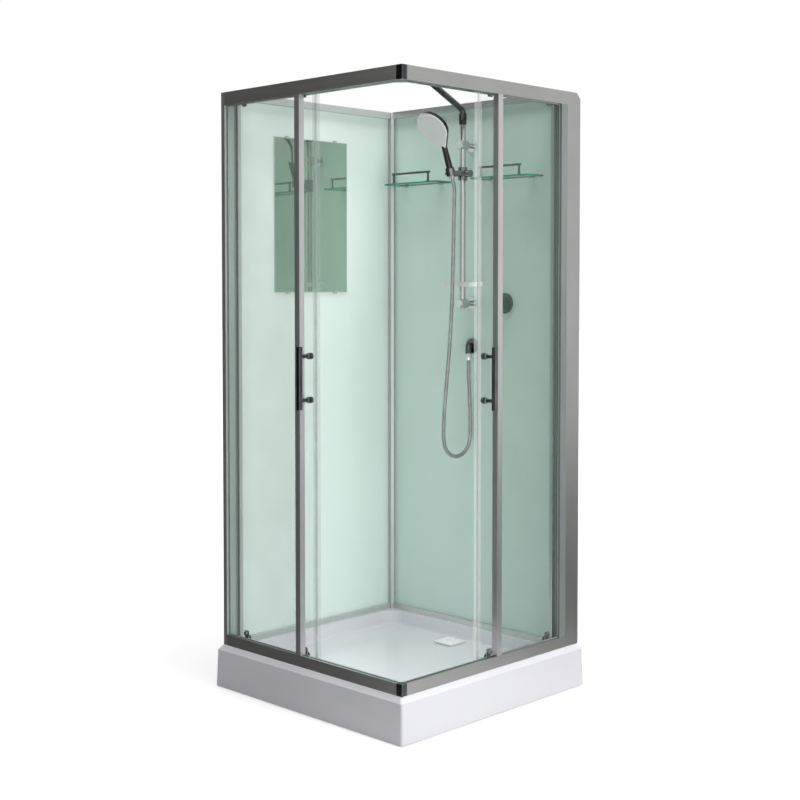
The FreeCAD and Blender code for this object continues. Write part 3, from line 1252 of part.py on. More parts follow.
def supply_pipes():
    """From the valve to the riser's lower bracket and to the hose outlet."""
    y = pipe_y()
    end_y = BACK_GLASS_Y + WALL_INLET_REACH
    riser = [V(MIXER_X - VALVE_WIDTH / 2, y, LOWER_BRACKET_HEIGHT), V(SHOWER_X, y, LOWER_BRACKET_HEIGHT),
             V(SHOWER_X, end_y, LOWER_BRACKET_HEIGHT)]
    outlet = [V(MIXER_X, y, MIXER_HEIGHT - VALVE_HEIGHT / 2), V(MIXER_X, y, ELBOW_HEIGHT),
              V(SHOWER_X, y, ELBOW_HEIGHT), V(SHOWER_X, end_y, ELBOW_HEIGHT)]
    pipes = []
    for route in (riser, outlet):
        path, _ = bent_path(route, bend_reaches(route, [PIPE_BEND] * (len(route) - 2)))
        pipes.append(pipe(path, PIPE_RADIUS))
    return pipes


def door_side_pieces(side):
    name = side.name
    pieces = {
        f"{name}_top_rail": top_rail(side),
        f"{name}_bottom_rail": bottom_rail(side),
        f"{name}_fixed_glass": fixed_glass(side),
        f"{name}_edge_profile": edge_profile(side),
        f"{name}_door_glass": door_glass(side),
        f"{name}_door_seals": door_seals(side),
        f"{name}_door_handle": door_handle(side),
        f"{name}_roller_hangers": roller_hangers(side),
    }
    for end, t, axle_z, _ in roller_places(side):
        pieces[f"{name}_roller_{end}"] = roller(side, t, axle_z)
    return pieces


def cabin_pieces():
    pieces = {
        "tray_shell": tray_shell(),
        "tray_frame": tray_frame(),
        "levelling_feet": levelling_feet(),
        "drain_waste": drain_waste(),
        "drain_cover": drain_cover(),
        "left_wall_glass": left_wall_glass(),
        "back_wall_glass": back_wall_glass(),
        "left_wall_profiles": left_wall_profiles(),
        "back_wall_profiles": back_wall_profiles(),
        "corner_post": corner_post(),
        "left_post": left_post(),
        "right_post": right_post(),
        "right_inner_profile": right_inner_profile(),
        "corner_connectors": corner_connectors(),
        "mirror": mirror(),
        "left_shelf": shelf(LEFT_SHELF_ENDS),
        "right_shelf": shelf(RIGHT_SHELF_ENDS),
        "glass_clips": glass_clips(),
        "shelf_galleries": [gallery(LEFT_SHELF_ENDS), gallery(RIGHT_SHELF_ENDS)],
        "riser_pipe": riser_pipe(),
        "riser_brackets": riser_brackets(),
        "soap_dish": soap_dish(),
        "overhead_arm": overhead_arm(),
        "rain_head": rain_head(),
        "slider": slider(),
        "handset_holder": handset_holder(),
        "handset_body": handset_body(),
        "handset_face": handset_face(),
        "handset_hose_nut": handset_hose_nut(),
        "shower_hose": shower_hose(),
        "outlet_hose_nut": outlet_hose_nut(),
        "wall_elbow": wall_elbow(),
        "mixer_plate": mixer_plate(),
        "mixer_lever": mixer_lever(),
        "mixer_valve": mixer_valve(),
        "supply_pipes": supply_pipes(),
    }
    for side in (FRONT, SIDE):
        pieces.update(door_side_pieces(side))
    return pieces


def write_pieces():
    os.makedirs("parts", exist_ok=True)
    for name, made in cabin_pieces().items():
        shape = Part.makeCompound(made) if isinstance(made, list) else made
        bad = [s for s in shape.Solids if not s.isValid() or s.Volume <= 0]
        if bad or not shape.Solids:
            print("check", name, len(shape.Solids), "solids", len(bad), "bad")
        shape.exportStep(f"parts/{name}.step")


write_pieces()
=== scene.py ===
import math
import bpy
from mathutils import Matrix, Vector


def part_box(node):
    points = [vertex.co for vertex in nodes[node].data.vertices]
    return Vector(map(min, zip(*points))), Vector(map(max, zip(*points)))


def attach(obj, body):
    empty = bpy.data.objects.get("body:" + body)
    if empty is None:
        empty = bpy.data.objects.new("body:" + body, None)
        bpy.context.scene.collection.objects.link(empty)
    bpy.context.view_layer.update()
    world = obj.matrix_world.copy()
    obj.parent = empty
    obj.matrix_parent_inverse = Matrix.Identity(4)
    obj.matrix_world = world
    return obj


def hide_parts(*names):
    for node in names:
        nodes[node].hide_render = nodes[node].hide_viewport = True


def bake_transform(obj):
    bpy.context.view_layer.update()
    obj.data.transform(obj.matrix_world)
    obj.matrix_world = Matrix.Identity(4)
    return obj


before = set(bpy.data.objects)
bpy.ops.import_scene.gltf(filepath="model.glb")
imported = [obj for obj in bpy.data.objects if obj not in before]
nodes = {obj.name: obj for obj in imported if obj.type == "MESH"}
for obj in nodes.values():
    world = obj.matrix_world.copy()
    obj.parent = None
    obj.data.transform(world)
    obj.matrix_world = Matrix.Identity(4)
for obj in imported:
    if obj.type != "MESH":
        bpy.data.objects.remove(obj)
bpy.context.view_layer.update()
scene = bpy.context.scene


def middle(name):
    """The middle of a CAD node's box."""
    low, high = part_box(name)
    return (low + high) / 2.0


# Camera at the photograph's place and angle
CAMERA_PLACE = (3.2410, -3.2960, 1.3801)
AZIMUTH = math.radians(44.52)
DIP = math.radians(2.343)
QUARTER_TURN = math.radians(90.0)
EIGHTH_TURN = math.radians(45.0)
SENSOR_WIDTH = 36.0
LENS = 60.79
PICTURE_SHIFT = -0.0735

camera_data = bpy.data.cameras.new("camera")
camera_data.sensor_width = SENSOR_WIDTH
camera_data.lens = LENS
camera_data.shift_y = PICTURE_SHIFT
camera = bpy.data.objects.new("camera", camera_data)
camera.location = CAMERA_PLACE
camera.rotation_euler = (QUARTER_TURN - DIP, 0.0, AZIMUTH)
scene.collection.objects.link(camera)
scene.camera = camera


# Materials
FINE_TIMES = 14.0
LINE_SHARE, CLOUD_SHARE = 0.6, 0.4
# The second number is the metallic of the face that carries a painted mint reflection
METAL, REFLECTION_FACE_METAL = 0.85, 0.20
FACE_START, FACE_END = 0.35, 0.65
GLASS_IOR, GLASS_SHINE = 1.5, 0.15
# Seal opacity: low at the trailing edge, which hides its shade, and higher at the leading edge as a painted
# highlight
SEAL_TRAIL_ALPHA, SEAL_LEAD_ALPHA, SEAL_FADE = 0.05, 0.17, 0.05
ALONG_X, ALONG_Y, ALONG_Z = (0.008, 1.0, 1.0), (1.0, 0.008, 1.0), (1.0, 1.0, 0.008)
EVEN = (1.0, 1.0, 1.0)
ROUGH_BUMP, FLAT_BUMP = (0.05, 0.0004), (0.004, 0.0004)
POLISHED_BUMP, PLATED_BUMP = (0.01, 0.0002), (0.02, 0.0002)
WHITE = (1.0, 1.0, 1.0, 1.0)


class Look:
    """A material with one main shader, and short ways to give its sockets detail."""

    def __init__(self, name, **values):
        self.material = bpy.data.materials.new(name)
        self.material.use_nodes = True
        self.tree = self.material.node_tree
        self.shader = self.tree.nodes["Principled BSDF"]
        self.place = self.tree.nodes.new("ShaderNodeTexCoord")
        for words, value in values.items():
            self.shader.inputs[words.replace("_", " ").title()].default_value = value

    def node(self, kind, **settings):
        made = self.tree.nodes.new("ShaderNode" + kind)
        for key, value in settings.items():
            setattr(made, key, value)
        return made

    def link(self, start, end):
        self.tree.links.new(start, end)

    def mapped(self, stretch):
        mapping = self.node("Mapping")
        mapping.inputs["Scale"].default_value = stretch
        self.link(self.place.outputs["Object"], mapping.inputs["Vector"])
        return mapping.outputs["Vector"]

    def noise(self, scale, detail=3.0, stretch=EVEN, rough=0.55):
        made = self.node("TexNoise")
        made.inputs["Scale"].default_value = scale
        made.inputs["Detail"].default_value = detail
        made.inputs["Roughness"].default_value = rough
        self.link(self.mapped(stretch), made.inputs["Vector"])
        return made.outputs["Fac"]

    def span(self, value, low, high, start=0.3, end=0.7):
        """The value's stretch from start to end, spread from low to high."""
        made = self.node("MapRange")
        for name, number in (("From Min", start), ("From Max", end), ("To Min", low), ("To Max", high)):
            made.inputs[name].default_value = number
        self.link(value, made.inputs["Value"])
        return made.outputs["Result"]

    def mix(self, value, first, second):
        made = self.node("Mix", data_type="RGBA")
        for name, colour in (("A", first), ("B", second)):
            socket = [s for s in made.inputs if s.name == name and s.type == "RGBA"][0]
            if isinstance(colour, tuple):
                socket.default_value = (*colour, 1.0)
            else:
                self.link(colour, socket)
        self.link(value, made.inputs["Factor"])
        return [s for s in made.outputs if s.type == "RGBA"][0]

    def math(self, operation, first, second=None):
        made = self.node("Math", operation=operation)
        for index, value in enumerate((first, second)):
            if value is None:
                continue
            if isinstance(value, (int, float)):
                made.inputs[index].default_value = value
            else:
                self.link(value, made.inputs[index])
        return made.outputs["Value"]

    def colour(self, value):
        self.link(value, self.shader.inputs["Base Color"])
        return self

    def set(self, name, value):
        self.link(value, self.shader.inputs[name])
        return self

    def bump(self, value, strength, distance):
        made = self.node("Bump")
        made.inputs["Strength"].default_value = strength
        made.inputs["Distance"].default_value = distance
        self.link(value, made.inputs["Height"])
        self.link(made.outputs["Normal"], self.shader.inputs["Normal"])
        return self

    def parts(self, vector):
        """A vector's three sockets, X, Y and Z."""
        made = self.node("SeparateXYZ")
        self.link(self.place.outputs[vector], made.inputs["Vector"])
        return [made.outputs[letter] for letter in "XYZ"]

    def distance(self):
        """How far a point is from the piece's own origin."""
        made = self.node("VectorMath", operation="LENGTH")
        self.link(self.place.outputs["Object"], made.inputs[0])
        return made.outputs["Value"]


def mottled(name, dark, light, scale, rough, bump=ROUGH_BUMP, **values):
    """A finish whose colour, gloss and surface all vary a little."""
    look = Look(name, **values)
    broad = look.noise(scale)
    fine = look.noise(scale * FINE_TIMES, detail=4.0)
    look.colour(look.mix(look.span(broad, 0.0, 1.0), dark, light))
    look.set("Roughness", look.span(fine, *rough))
    return look.bump(fine, *bump)


def brushed(name, stretch, dark, light, metallic=METAL):
    """Satin anodised aluminium, with its fine lines along the profile."""
    look = Look(name, metallic=metallic)
    lines = look.noise(scale=420.0, detail=5.0, stretch=stretch, rough=0.7)
    cloud = look.noise(scale=5.0, detail=2.0)
    tone = look.math("ADD", look.math("MULTIPLY", lines, LINE_SHARE),
                     look.math("MULTIPLY", cloud, CLOUD_SHARE))
    look.colour(look.mix(look.span(tone, 0.0, 1.0), dark, light))
    look.set("Roughness", look.span(lines, low=0.30, high=0.42))
    return look.bump(lines, strength=0.06, distance=0.0002)


def brushed_with_painted_reflection(name, stretch, dark, light, reflection_dark, reflection_light):
    """Brushed outside, with a painted mint reflection on the face towards the cabin's inside, which lies along
    +X: that face is tinted mint and made less metallic.
    """
    look = brushed(name, stretch, dark, light)
    outer = look.shader.inputs["Base Color"].links[0].from_socket
    inside = look.span(look.parts("Normal")[0], 0.0, 1.0, FACE_START, FACE_END)
    inner = look.mix(look.span(look.noise(scale=4.0, detail=2.0), 0.0, 1.0), reflection_dark, reflection_light)
    look.colour(look.mix(inside, outer, inner))
    return look.set("Metallic", look.span(inside, METAL, REFLECTION_FACE_METAL, 0.0, 1.0))


def pane(name, axis, veil, veil_alpha, edge, edge_alpha):
    """Clear glass that is see-through on its broad faces, across an axis, and deeper green at its edges."""
    look = Look(name, roughness=0.02)
    facing = look.math("ABSOLUTE", look.parts("Normal")[axis])
    broad = look.span(facing, 0.0, 1.0, FACE_START, FACE_END)
    smear = look.span(look.noise(scale=6.0), low=0.85, high=1.15)
    gloss = look.node("Fresnel")
    gloss.inputs["IOR"].default_value = GLASS_IOR
    outer = look.math("SUBTRACT", 1.0, look.node("NewGeometry").outputs["Backfacing"])
    shine = look.math("MULTIPLY", look.math("MULTIPLY", gloss.outputs["Fac"], outer), GLASS_SHINE)
    clear = look.math("MULTIPLY", look.math("ADD", shine, veil_alpha), smear)
    look.colour(look.mix(broad, edge, veil))
    mix = look.node("Mix", data_type="FLOAT")
    look.link(broad, mix.inputs["Factor"])
    mix.inputs["A"].default_value = edge_alpha
    look.link(clear, mix.inputs["B"])
    return look.set("Alpha", look.math("MINIMUM", mix.outputs["Result"], 1.0))


def door_seal(name, node, axis, lead):
    """Seals of a door, along an axis of the door: milky at its leading edge as a painted highlight, and nearly
    clear at its trailing one, which hides the shade it sits in.
    """
    look = mottled(name, (0.84, 0.88, 0.87), (0.90, 0.93, 0.92), scale=30.0, rough=(0.2, 0.35))
    along = look.math("MULTIPLY", look.parts("Object")[axis], lead)
    halfway = middle(node)[axis] * lead
    alpha = look.span(along, SEAL_TRAIL_ALPHA, SEAL_LEAD_ALPHA, halfway - SEAL_FADE, halfway + SEAL_FADE)
    return look.set("Alpha", alpha)


def silvered_glass(name, dark, light):
    """The mirror: greenish, with a slight haze."""
    look = Look(name, metallic=0.80)
    look.colour(look.mix(look.span(look.noise(scale=3.0), 0.0, 1.0), dark, light))
    return look.set("Roughness", look.span(look.noise(scale=40.0), low=0.012, high=0.03))


# Tray and what is under it
acrylic = mottled("acrylic", (0.70, 0.70, 0.74), (0.735, 0.735, 0.775), scale=3.0, rough=(0.12, 0.22),
                  bump=(0.02, 0.0004), coat_weight=0.35)
painted_steel = mottled("painted_steel", (0.05, 0.052, 0.055), (0.075, 0.078, 0.08), scale=8.0,
                        rough=(0.35, 0.5))
zinc_steel = mottled("zinc_steel", (0.42, 0.43, 0.44), (0.58, 0.58, 0.56), scale=40.0, rough=(0.25, 0.42),
                     metallic=0.95)
grey_plastic = mottled("grey_plastic", (0.50, 0.51, 0.52), (0.58, 0.59, 0.60), scale=12.0, rough=(0.28, 0.4))

# Walls: one mint glass in two copies, painted lighter on the left wall and darker on the back wall for the
# light that falls on each
left_glass_painted_lighter = mottled("left_glass_painted_lighter", (0.81, 0.935, 0.88), (0.83, 0.95, 0.90), scale=2.2, rough=(0.28, 0.36),
                     bump=FLAT_BUMP)
back_glass_painted_darker = mottled("back_glass_painted_darker", (0.72, 0.89, 0.82), (0.74, 0.905, 0.84), scale=2.2, rough=(0.28, 0.36),
                     bump=FLAT_BUMP)

# Profiles: one satin anodised aluminium; besides its plain copies, some pieces get lighter, darker or
# mint-tinted copies, which paint the light, shade and reflections that fall on them
GREY, PALE_GREY = (0.33, 0.33, 0.325), (0.39, 0.39, 0.385)
SILVER, PALE_SILVER = (0.60, 0.62, 0.61), (0.68, 0.70, 0.69)
alu_upright = brushed("alu_upright", ALONG_Z, GREY, PALE_GREY)
# Front rails: a lighter copy of the aluminium, painted light
alu_front_painted_lighter = brushed("alu_front_painted_lighter", ALONG_X, (0.42, 0.42, 0.41), (0.48, 0.48, 0.47))
alu_side = brushed("alu_side", ALONG_Y, GREY, PALE_GREY)
# Side edge profile: a lighter copy of the aluminium, painted light
alu_edge_painted_lighter = brushed("alu_edge_painted_lighter", ALONG_Z, (0.48, 0.485, 0.48), (0.55, 0.555, 0.55), metallic=0.9)
# Front edge profile: a still lighter copy of the aluminium, a painted highlight
alu_painted_highlight = brushed("alu_painted_highlight", ALONG_Z, (0.57, 0.575, 0.58), (0.65, 0.655, 0.66))
# Back wall profiles: a lighter copy of the aluminium, painted light
back_profiles_painted_lighter = brushed("back_profiles_painted_lighter", ALONG_X, SILVER, PALE_SILVER)
# Left wall profiles: aluminium tinted mint and made nearly non-metallic, a painted reflection of the mint walls
# and the light on them
wall_profiles_painted_mint = brushed("wall_profiles_painted_mint", ALONG_Y, (0.50, 0.55, 0.53), (0.58, 0.63, 0.61), metallic=0.15)
# Left post: brushed aluminium whose inner face carries a painted mint reflection of the walls
upright_with_painted_reflection = brushed_with_painted_reflection("upright_with_painted_reflection", ALONG_Z, SILVER, PALE_SILVER, (0.44, 0.53, 0.49), (0.48, 0.57, 0.53))
# Right inner profile: a dark, less metallic copy of the aluminium, painted shade
profile_painted_shade = mottled("profile_painted_shade", (0.205, 0.225, 0.22), (0.245, 0.265, 0.26), scale=4.0, rough=(0.4, 0.5),
                      metallic=0.25)
# Corner post and glass clips: aluminium tinted mint, a painted reflection of the mint walls
post_painted_mint = mottled("post_painted_mint", (0.48, 0.53, 0.51), (0.54, 0.59, 0.57), scale=4.0, rough=(0.3, 0.42),
                     metallic=0.35)
# A pale copy of the aluminium, a painted highlight on the mirror's edge and the corner strip
pale_painted_highlight = mottled("pale_painted_highlight", (0.62, 0.66, 0.65), (0.68, 0.72, 0.71), scale=4.0, rough=(0.28, 0.4),
                     metallic=0.45)

# Panes, shelves and seals
VEIL, VEIL_ALPHA, PANE_EDGE, PANE_EDGE_ALPHA = (0.17, 0.30, 0.24), 0.06, (0.42, 0.58, 0.52), 0.45
front_glass = pane("front_glass", 1, VEIL, VEIL_ALPHA, PANE_EDGE, PANE_EDGE_ALPHA)
side_glass = pane("side_glass", 0, VEIL, VEIL_ALPHA, PANE_EDGE, PANE_EDGE_ALPHA)
shelf_glass = pane("shelf_glass", 2, veil=(0.40, 0.72, 0.60), veil_alpha=0.25, edge=(0.02, 0.30, 0.21),
                   edge_alpha=0.95)
front_seal = door_seal("front_seal", "front_door_seals", axis=0, lead=1.0)
side_seal = door_seal("side_seal", "side_door_seals", axis=1, lead=-1.0)
gasket = mottled("gasket", (0.24, 0.28, 0.27), (0.30, 0.34, 0.33), scale=30.0, rough=(0.3, 0.45))

# Shower set and fittings
chrome = mottled("chrome", (0.50, 0.51, 0.52), (0.60, 0.61, 0.62), scale=9.0, rough=(0.06, 0.13),
                 bump=POLISHED_BUMP, metallic=1.0)
bright_chrome = mottled("bright_chrome", (0.76, 0.77, 0.78), (0.84, 0.85, 0.86), scale=9.0,
                        rough=(0.05, 0.12), bump=POLISHED_BUMP, metallic=1.0)
riser_chrome = mottled("riser_chrome", (0.52, 0.53, 0.54), (0.60, 0.61, 0.62), scale=9.0, rough=(0.06, 0.13),
                       bump=POLISHED_BUMP, metallic=1.0)
# Chrome painted dark, a painted reflection of dark surroundings, on the connectors, handles, galleries, arm and
# elbow
chrome_painted_dark = mottled("chrome_painted_dark", (0.08, 0.083, 0.086), (0.13, 0.134, 0.138), scale=12.0,
                      rough=(0.10, 0.18), bump=PLATED_BUMP, metallic=1.0)
# Chrome painted nearly black, a painted dark reflection, on the mixer plate and lever and the handset body
chrome_painted_black = mottled("chrome_painted_black", (0.03, 0.032, 0.033), (0.055, 0.057, 0.058), scale=12.0,
                       rough=(0.08, 0.16), bump=PLATED_BUMP, metallic=0.9)
chrome_plastic = mottled("chrome_plastic", (0.20, 0.21, 0.21), (0.28, 0.29, 0.29), scale=14.0,
                         rough=(0.08, 0.15), bump=PLATED_BUMP, metallic=0.95)
white_plastic = mottled("white_plastic", (0.86, 0.87, 0.88), (0.91, 0.92, 0.93), scale=20.0,
                        rough=(0.2, 0.32))
roller_plastic = mottled("roller_plastic", (0.025, 0.025, 0.026), (0.045, 0.045, 0.046), scale=60.0,
                         rough=(0.4, 0.55))
rubber = mottled("rubber", (0.02, 0.02, 0.02), (0.035, 0.035, 0.035), scale=80.0, rough=(0.5, 0.7))
brass = mottled("brass", (0.42, 0.26, 0.09), (0.60, 0.42, 0.17), scale=25.0, rough=(0.25, 0.45),
                metallic=1.0)
hose_metal = mottled("hose_metal", (0.32, 0.33, 0.33), (0.44, 0.45, 0.45), scale=30.0, rough=(0.14, 0.26),
                     metallic=0.95)
# Soap dish: clear plastic made white and nearly opaque, a painted highlight
clear_plastic = mottled("clear_plastic", (0.92, 0.95, 0.94), (0.96, 0.98, 0.97), scale=18.0,
                        rough=(0.04, 0.09), alpha=0.9)
silvered = silvered_glass("mirror", (0.50, 0.64, 0.54), (0.54, 0.67, 0.57))


def dress(look, *names):
    for name in names:
        for place in nodes[name].material_slots:
            place.material = look.material


dress(acrylic, "tray_shell")
dress(painted_steel, "tray_frame")
dress(zinc_steel, "levelling_feet", "front_roller_hangers", "side_roller_hangers")
dress(grey_plastic, "drain_waste")
dress(white_plastic, "drain_cover", "handset_face")
dress(left_glass_painted_lighter, "left_wall_glass")
dress(back_glass_painted_darker, "back_wall_glass")
dress(alu_upright, "right_post")
dress(alu_painted_highlight, "front_edge_profile")
dress(alu_edge_painted_lighter, "side_edge_profile")
dress(upright_with_painted_reflection, "left_post")
dress(profile_painted_shade, "right_inner_profile")
dress(post_painted_mint, "corner_post", "glass_clips")
dress(alu_front_painted_lighter, "front_top_rail", "front_bottom_rail")
dress(alu_side, "side_top_rail", "side_bottom_rail")
dress(back_profiles_painted_lighter, "back_wall_profiles")
dress(wall_profiles_painted_mint, "left_wall_profiles")
dress(front_glass, "front_fixed_glass", "front_door_glass")
dress(side_glass, "side_fixed_glass", "side_door_glass")
dress(shelf_glass, "left_shelf", "right_shelf")
dress(front_seal, "front_door_seals")
dress(side_seal, "side_door_seals")
dress(riser_chrome, "riser_pipe")
dress(bright_chrome, "outlet_hose_nut")
dress(chrome, "handset_hose_nut", "riser_brackets")
dress(chrome_painted_dark, "corner_connectors", "front_door_handle", "side_door_handle", "shelf_galleries",
      "overhead_arm", "wall_elbow")
dress(chrome_painted_black, "mixer_plate", "mixer_lever", "handset_body")
dress(chrome_plastic, "rain_head", "slider", "handset_holder")
dress(roller_plastic, *[f"{side}_roller_{height}_{end}" for side in ("front", "side")
                        for height in ("top", "bottom") for end in ("lead", "trail")])
dress(silvered, "mirror")
dress(clear_plastic, "soap_dish")
dress(brass, "mixer_valve", "supply_pipes")

# The door panes stay out of reflections. Else the mirror, seen through two panes and showing both again,
# has more see-through layers than the renderer takes.
for name in ("front_door_glass", "side_door_glass"):
    nodes[name].visible_glossy = False


# Shapes
FULL_TURN = 2.0 * math.pi


def piece(name, points, faces, look, body=None, slot=None, smooth=True):
    mesh = bpy.data.meshes.new(name)
    mesh.from_pydata([tuple(p) for p in points], [], faces)
    mesh.update()
    mesh.polygons.foreach_set("use_smooth", [smooth] * len(mesh.polygons))
    mesh.materials.append(look.material)
    made = bpy.data.objects.new(name, mesh)
    scene.collection.objects.link(made)
    if body:
        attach(made, body)
    return made


def on_circle(radius, share, height=0.0):
    """The point at a share of a full turn about Z."""
    angle = FULL_TURN * share
    return Vector((radius * math.cos(angle), radius * math.sin(angle), height))


def bands(rows, count):
    """Faces between closed rows of points, with the same count in each row."""
    faces = []
    for row in range(rows - 1):
        for k in range(count):
            a, b = row * count + k, row * count + (k + 1) % count
            faces.append((a, b, b + count, a + count))
    return faces


def turned(profile, place, sides=24):
    """Points and faces of a shape turned about the place's local Z, from a profile of (radius, height)."""
    points = [place @ on_circle(radius, k / sides, height) for radius, height in profile
              for k in range(sides)]
    return points, bands(len(profile), sides)


def gathered(parts):
    """Several lists of points and faces as one."""
    points, faces = [], []
    for more_points, more_faces in parts:
        start = len(points)
        points += more_points
        faces += [tuple(i + start for i in face) for face in more_faces]
    return points, faces


def slab(lo, hi, ease):
    """Points and faces of a block with eased edges."""
    signs = [(i, j, k) for i in (-1, 1) for j in (-1, 1) for k in (-1, 1)]
    points, index = [], {}
    for sign in signs:
        for axis in range(3):
            index[sign, axis] = len(points)
            points.append(Vector([(hi if s > 0 else lo)[n] - (0.0 if n == axis else s * ease)
                                  for n, s in enumerate(sign)]))
    loops = [tuple(index[sign, axis] for axis in range(3)) for sign in signs]
    for axis in range(3):
        first, second = [n for n in range(3) if n != axis]

        def corner(along, i, j):
            sign = [0, 0, 0]
            sign[axis], sign[first], sign[second] = along, i, j
            return tuple(sign)

        turns = ((-1, -1), (1, -1), (1, 1), (-1, 1))
        loops += [tuple(index[corner(along, i, j), axis] for i, j in turns) for along in (-1, 1)]
        for i, j in turns:
            low, high = corner(-1, i, j), corner(1, i, j)
            loops.append((index[low, first], index[high, first], index[high, second], index[low, second]))
    centre = (Vector(lo) + Vector(hi)) / 2.0
    faces = []
    for loop in loops:
        p = [points[n] for n in loop]
        outward = (p[1] - p[0]).cross(p[2] - p[0]).dot(sum(p, Vector()) / len(p) - centre)
        faces.append(loop if outward > 0.0 else loop[::-1])
    return points, faces


def rim(low, high, width):
    """The four strips round a rectangle, each by its low and its high corner."""
    (a0, b0), (a1, b1) = low, high
    return [((a0, b0), (a0 + width, b1)), ((a1 - width, b0), (a1, b1)),
            ((a0, b0), (a1, b0 + width)), ((a0, b1 - width), (a1, b1))]


def on_side(points_and_faces):
    """The same on the side door's face, which mirrors the front's."""
    points, faces = points_and_faces
    return [Vector((-p.y, -p.x, p.z)) for p in points], [face[::-1] for face in faces]


# Gaskets round the two fixed panes, both worked out on the front and then mirrored for the side
GASKET_WIDTH, GASKET_EASE = 0.0036, 0.0006
GASKET_PROUD, GASKET_SUNK = 0.0012, 0.0004


def pane_gaskets(x0, x1):
    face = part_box("front_fixed_glass")[0].y
    y0, y1 = face - GASKET_PROUD, face + GASKET_SUNK
    z0, z1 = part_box("front_bottom_rail")[1].z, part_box("front_top_rail")[0].z
    return gathered([slab((a[0], y0, a[1]), (b[0], y1, b[1]), GASKET_EASE)
                     for a, b in rim((x0, z0), (x1, z1), GASKET_WIDTH)])


front_gaskets = pane_gaskets(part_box("left_post")[1].x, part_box("front_edge_profile")[0].x)
side_gaskets = on_side(pane_gaskets(-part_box("right_inner_profile")[0].y, -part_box("side_edge_profile")[1].y))
piece("front_pane_gaskets", *front_gaskets, gasket, "root", "seal", smooth=False)
piece("side_pane_gaskets", *side_gaskets, gasket, "root", "seal", smooth=False)


# Washers under the handles, both sides of the door glass
STANDOFF_SPACING = 0.142
WASHER_RADIUS, WASHER_BORE, WASHER_THICKNESS, WASHER_SUNK = 0.0095, 0.006, 0.0014, 0.0002
WASHER_EASE_OUT, WASHER_EASE_UP = 0.0007, 0.0005
washer_profile = [(WASHER_RADIUS, -WASHER_SUNK), (WASHER_RADIUS, WASHER_THICKNESS - WASHER_EASE_UP),
                  (WASHER_RADIUS - WASHER_EASE_OUT, WASHER_THICKNESS), (WASHER_BORE, WASHER_THICKNESS)]


def handle_washers(x):
    outside, inside = (corner.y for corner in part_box("front_door_glass"))
    parts = []
    for step in (-0.5, 0.5):
        z = middle("front_door_handle").z + step * STANDOFF_SPACING
        for y, turn in ((outside, QUARTER_TURN), (inside, -QUARTER_TURN)):
            place = Matrix.Translation((x, y, z)) @ Matrix.Rotation(turn, 4, "X")
            parts.append(turned(washer_profile, place))
    return gathered(parts)


front_washers = handle_washers(middle("front_door_handle").x)
side_washers = on_side(handle_washers(-middle("side_door_handle").y))
piece("front_handle_washers", *front_washers, gasket, "front_door", "seal")
piece("side_handle_washers", *side_washers, gasket, "side_door", "seal")


# Pale strip round the mirror's edge, a painted edge highlight
MIRROR_EDGE_WIDTH, MIRROR_EDGE_EASE = 0.0022, 0.0003
MIRROR_EDGE_PROUD, MIRROR_EDGE_SUNK = 0.0004, 0.0005


def mirror_edge():
    low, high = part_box("mirror")
    x0, x1 = high.x - MIRROR_EDGE_SUNK, high.x + MIRROR_EDGE_PROUD
    strips = rim((low.y, low.z), (high.y, high.z), MIRROR_EDGE_WIDTH)
    return gathered([slab((x0, *a), (x1, *b), MIRROR_EDGE_EASE) for a, b in strips])


piece("mirror_edge", *mirror_edge(), pale_painted_highlight, "root", "mirror", smooth=False)


# Cover strip along the corner post's inner edge, painted pale as a highlight along the corner
COVER_HALF_WIDTH, COVER_EASE = 0.0056, 0.0006
COVER_SUNK, COVER_PROUD = 0.0012, 0.0040


def corner_cover():
    low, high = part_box("corner_post")
    place = Matrix.Translation((high.x, low.y, 0.0)) @ Matrix.Rotation(EIGHTH_TURN, 4, "Z")
    points, faces = slab((-COVER_HALF_WIDTH, -COVER_SUNK, low.z), (COVER_HALF_WIDTH, COVER_PROUD, high.z),
                         COVER_EASE)
    return [place @ p for p in points], faces


piece("corner_cover", *corner_cover(), pale_painted_highlight, "root", "aluminium", smooth=False)


# Diverter sleeve and ring at the riser's top, as radius and height from that top
SLEEVE_BORE, SLEEVE_SIDES = 0.0108, 32
SLEEVE_PROFILE = [(SLEEVE_BORE, -0.036), (0.0126, -0.034), (0.0132, -0.031), (0.0132, -0.009),
                  (0.0126, -0.006), (SLEEVE_BORE, -0.005)]
RING_PROFILE = [(SLEEVE_BORE, -0.0048), (0.0134, -0.0044), (0.0138, -0.0028), (0.0134, -0.0012),
                (SLEEVE_BORE, -0.0008)]


def sleeve(profile):
    axis, top = middle("riser_pipe"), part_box("riser_pipe")[1].z
    return turned(profile, Matrix.Translation((axis.x, axis.y, top)), SLEEVE_SIDES)


piece("riser_sleeve", *sleeve(SLEEVE_PROFILE), rubber, "root", "chrome")
piece("riser_ring", *sleeve(RING_PROFILE), white_plastic, "root", "chrome")


# Grips round the hose nuts, as low and high from the outlet nut's top or from the handset's place
GRIP_RADIUS, GRIP_RIDGES, GRIP_GROOVE = 0.0112, 22, 0.0006
GRIP_END_SHRINK, GRIP_END_LENGTH = 0.0012, 0.001
OUTLET_GRIP, HANDSET_GRIP = (-0.013, -0.001), (-0.012, -0.002)


def grip_ring(place, low, high):
    count = 2 * GRIP_RIDGES
    rows = [(low, GRIP_END_SHRINK), (low + GRIP_END_LENGTH, 0.0), (high - GRIP_END_LENGTH, 0.0),
            (high, GRIP_END_SHRINK)]
    points = []
    for height, shrink in rows:
        for k in range(count):
            reach = GRIP_RADIUS - shrink - (GRIP_GROOVE if k % 2 else 0.0)
            points.append(place @ on_circle(reach, k / count, height))
    return points, bands(len(rows), count)


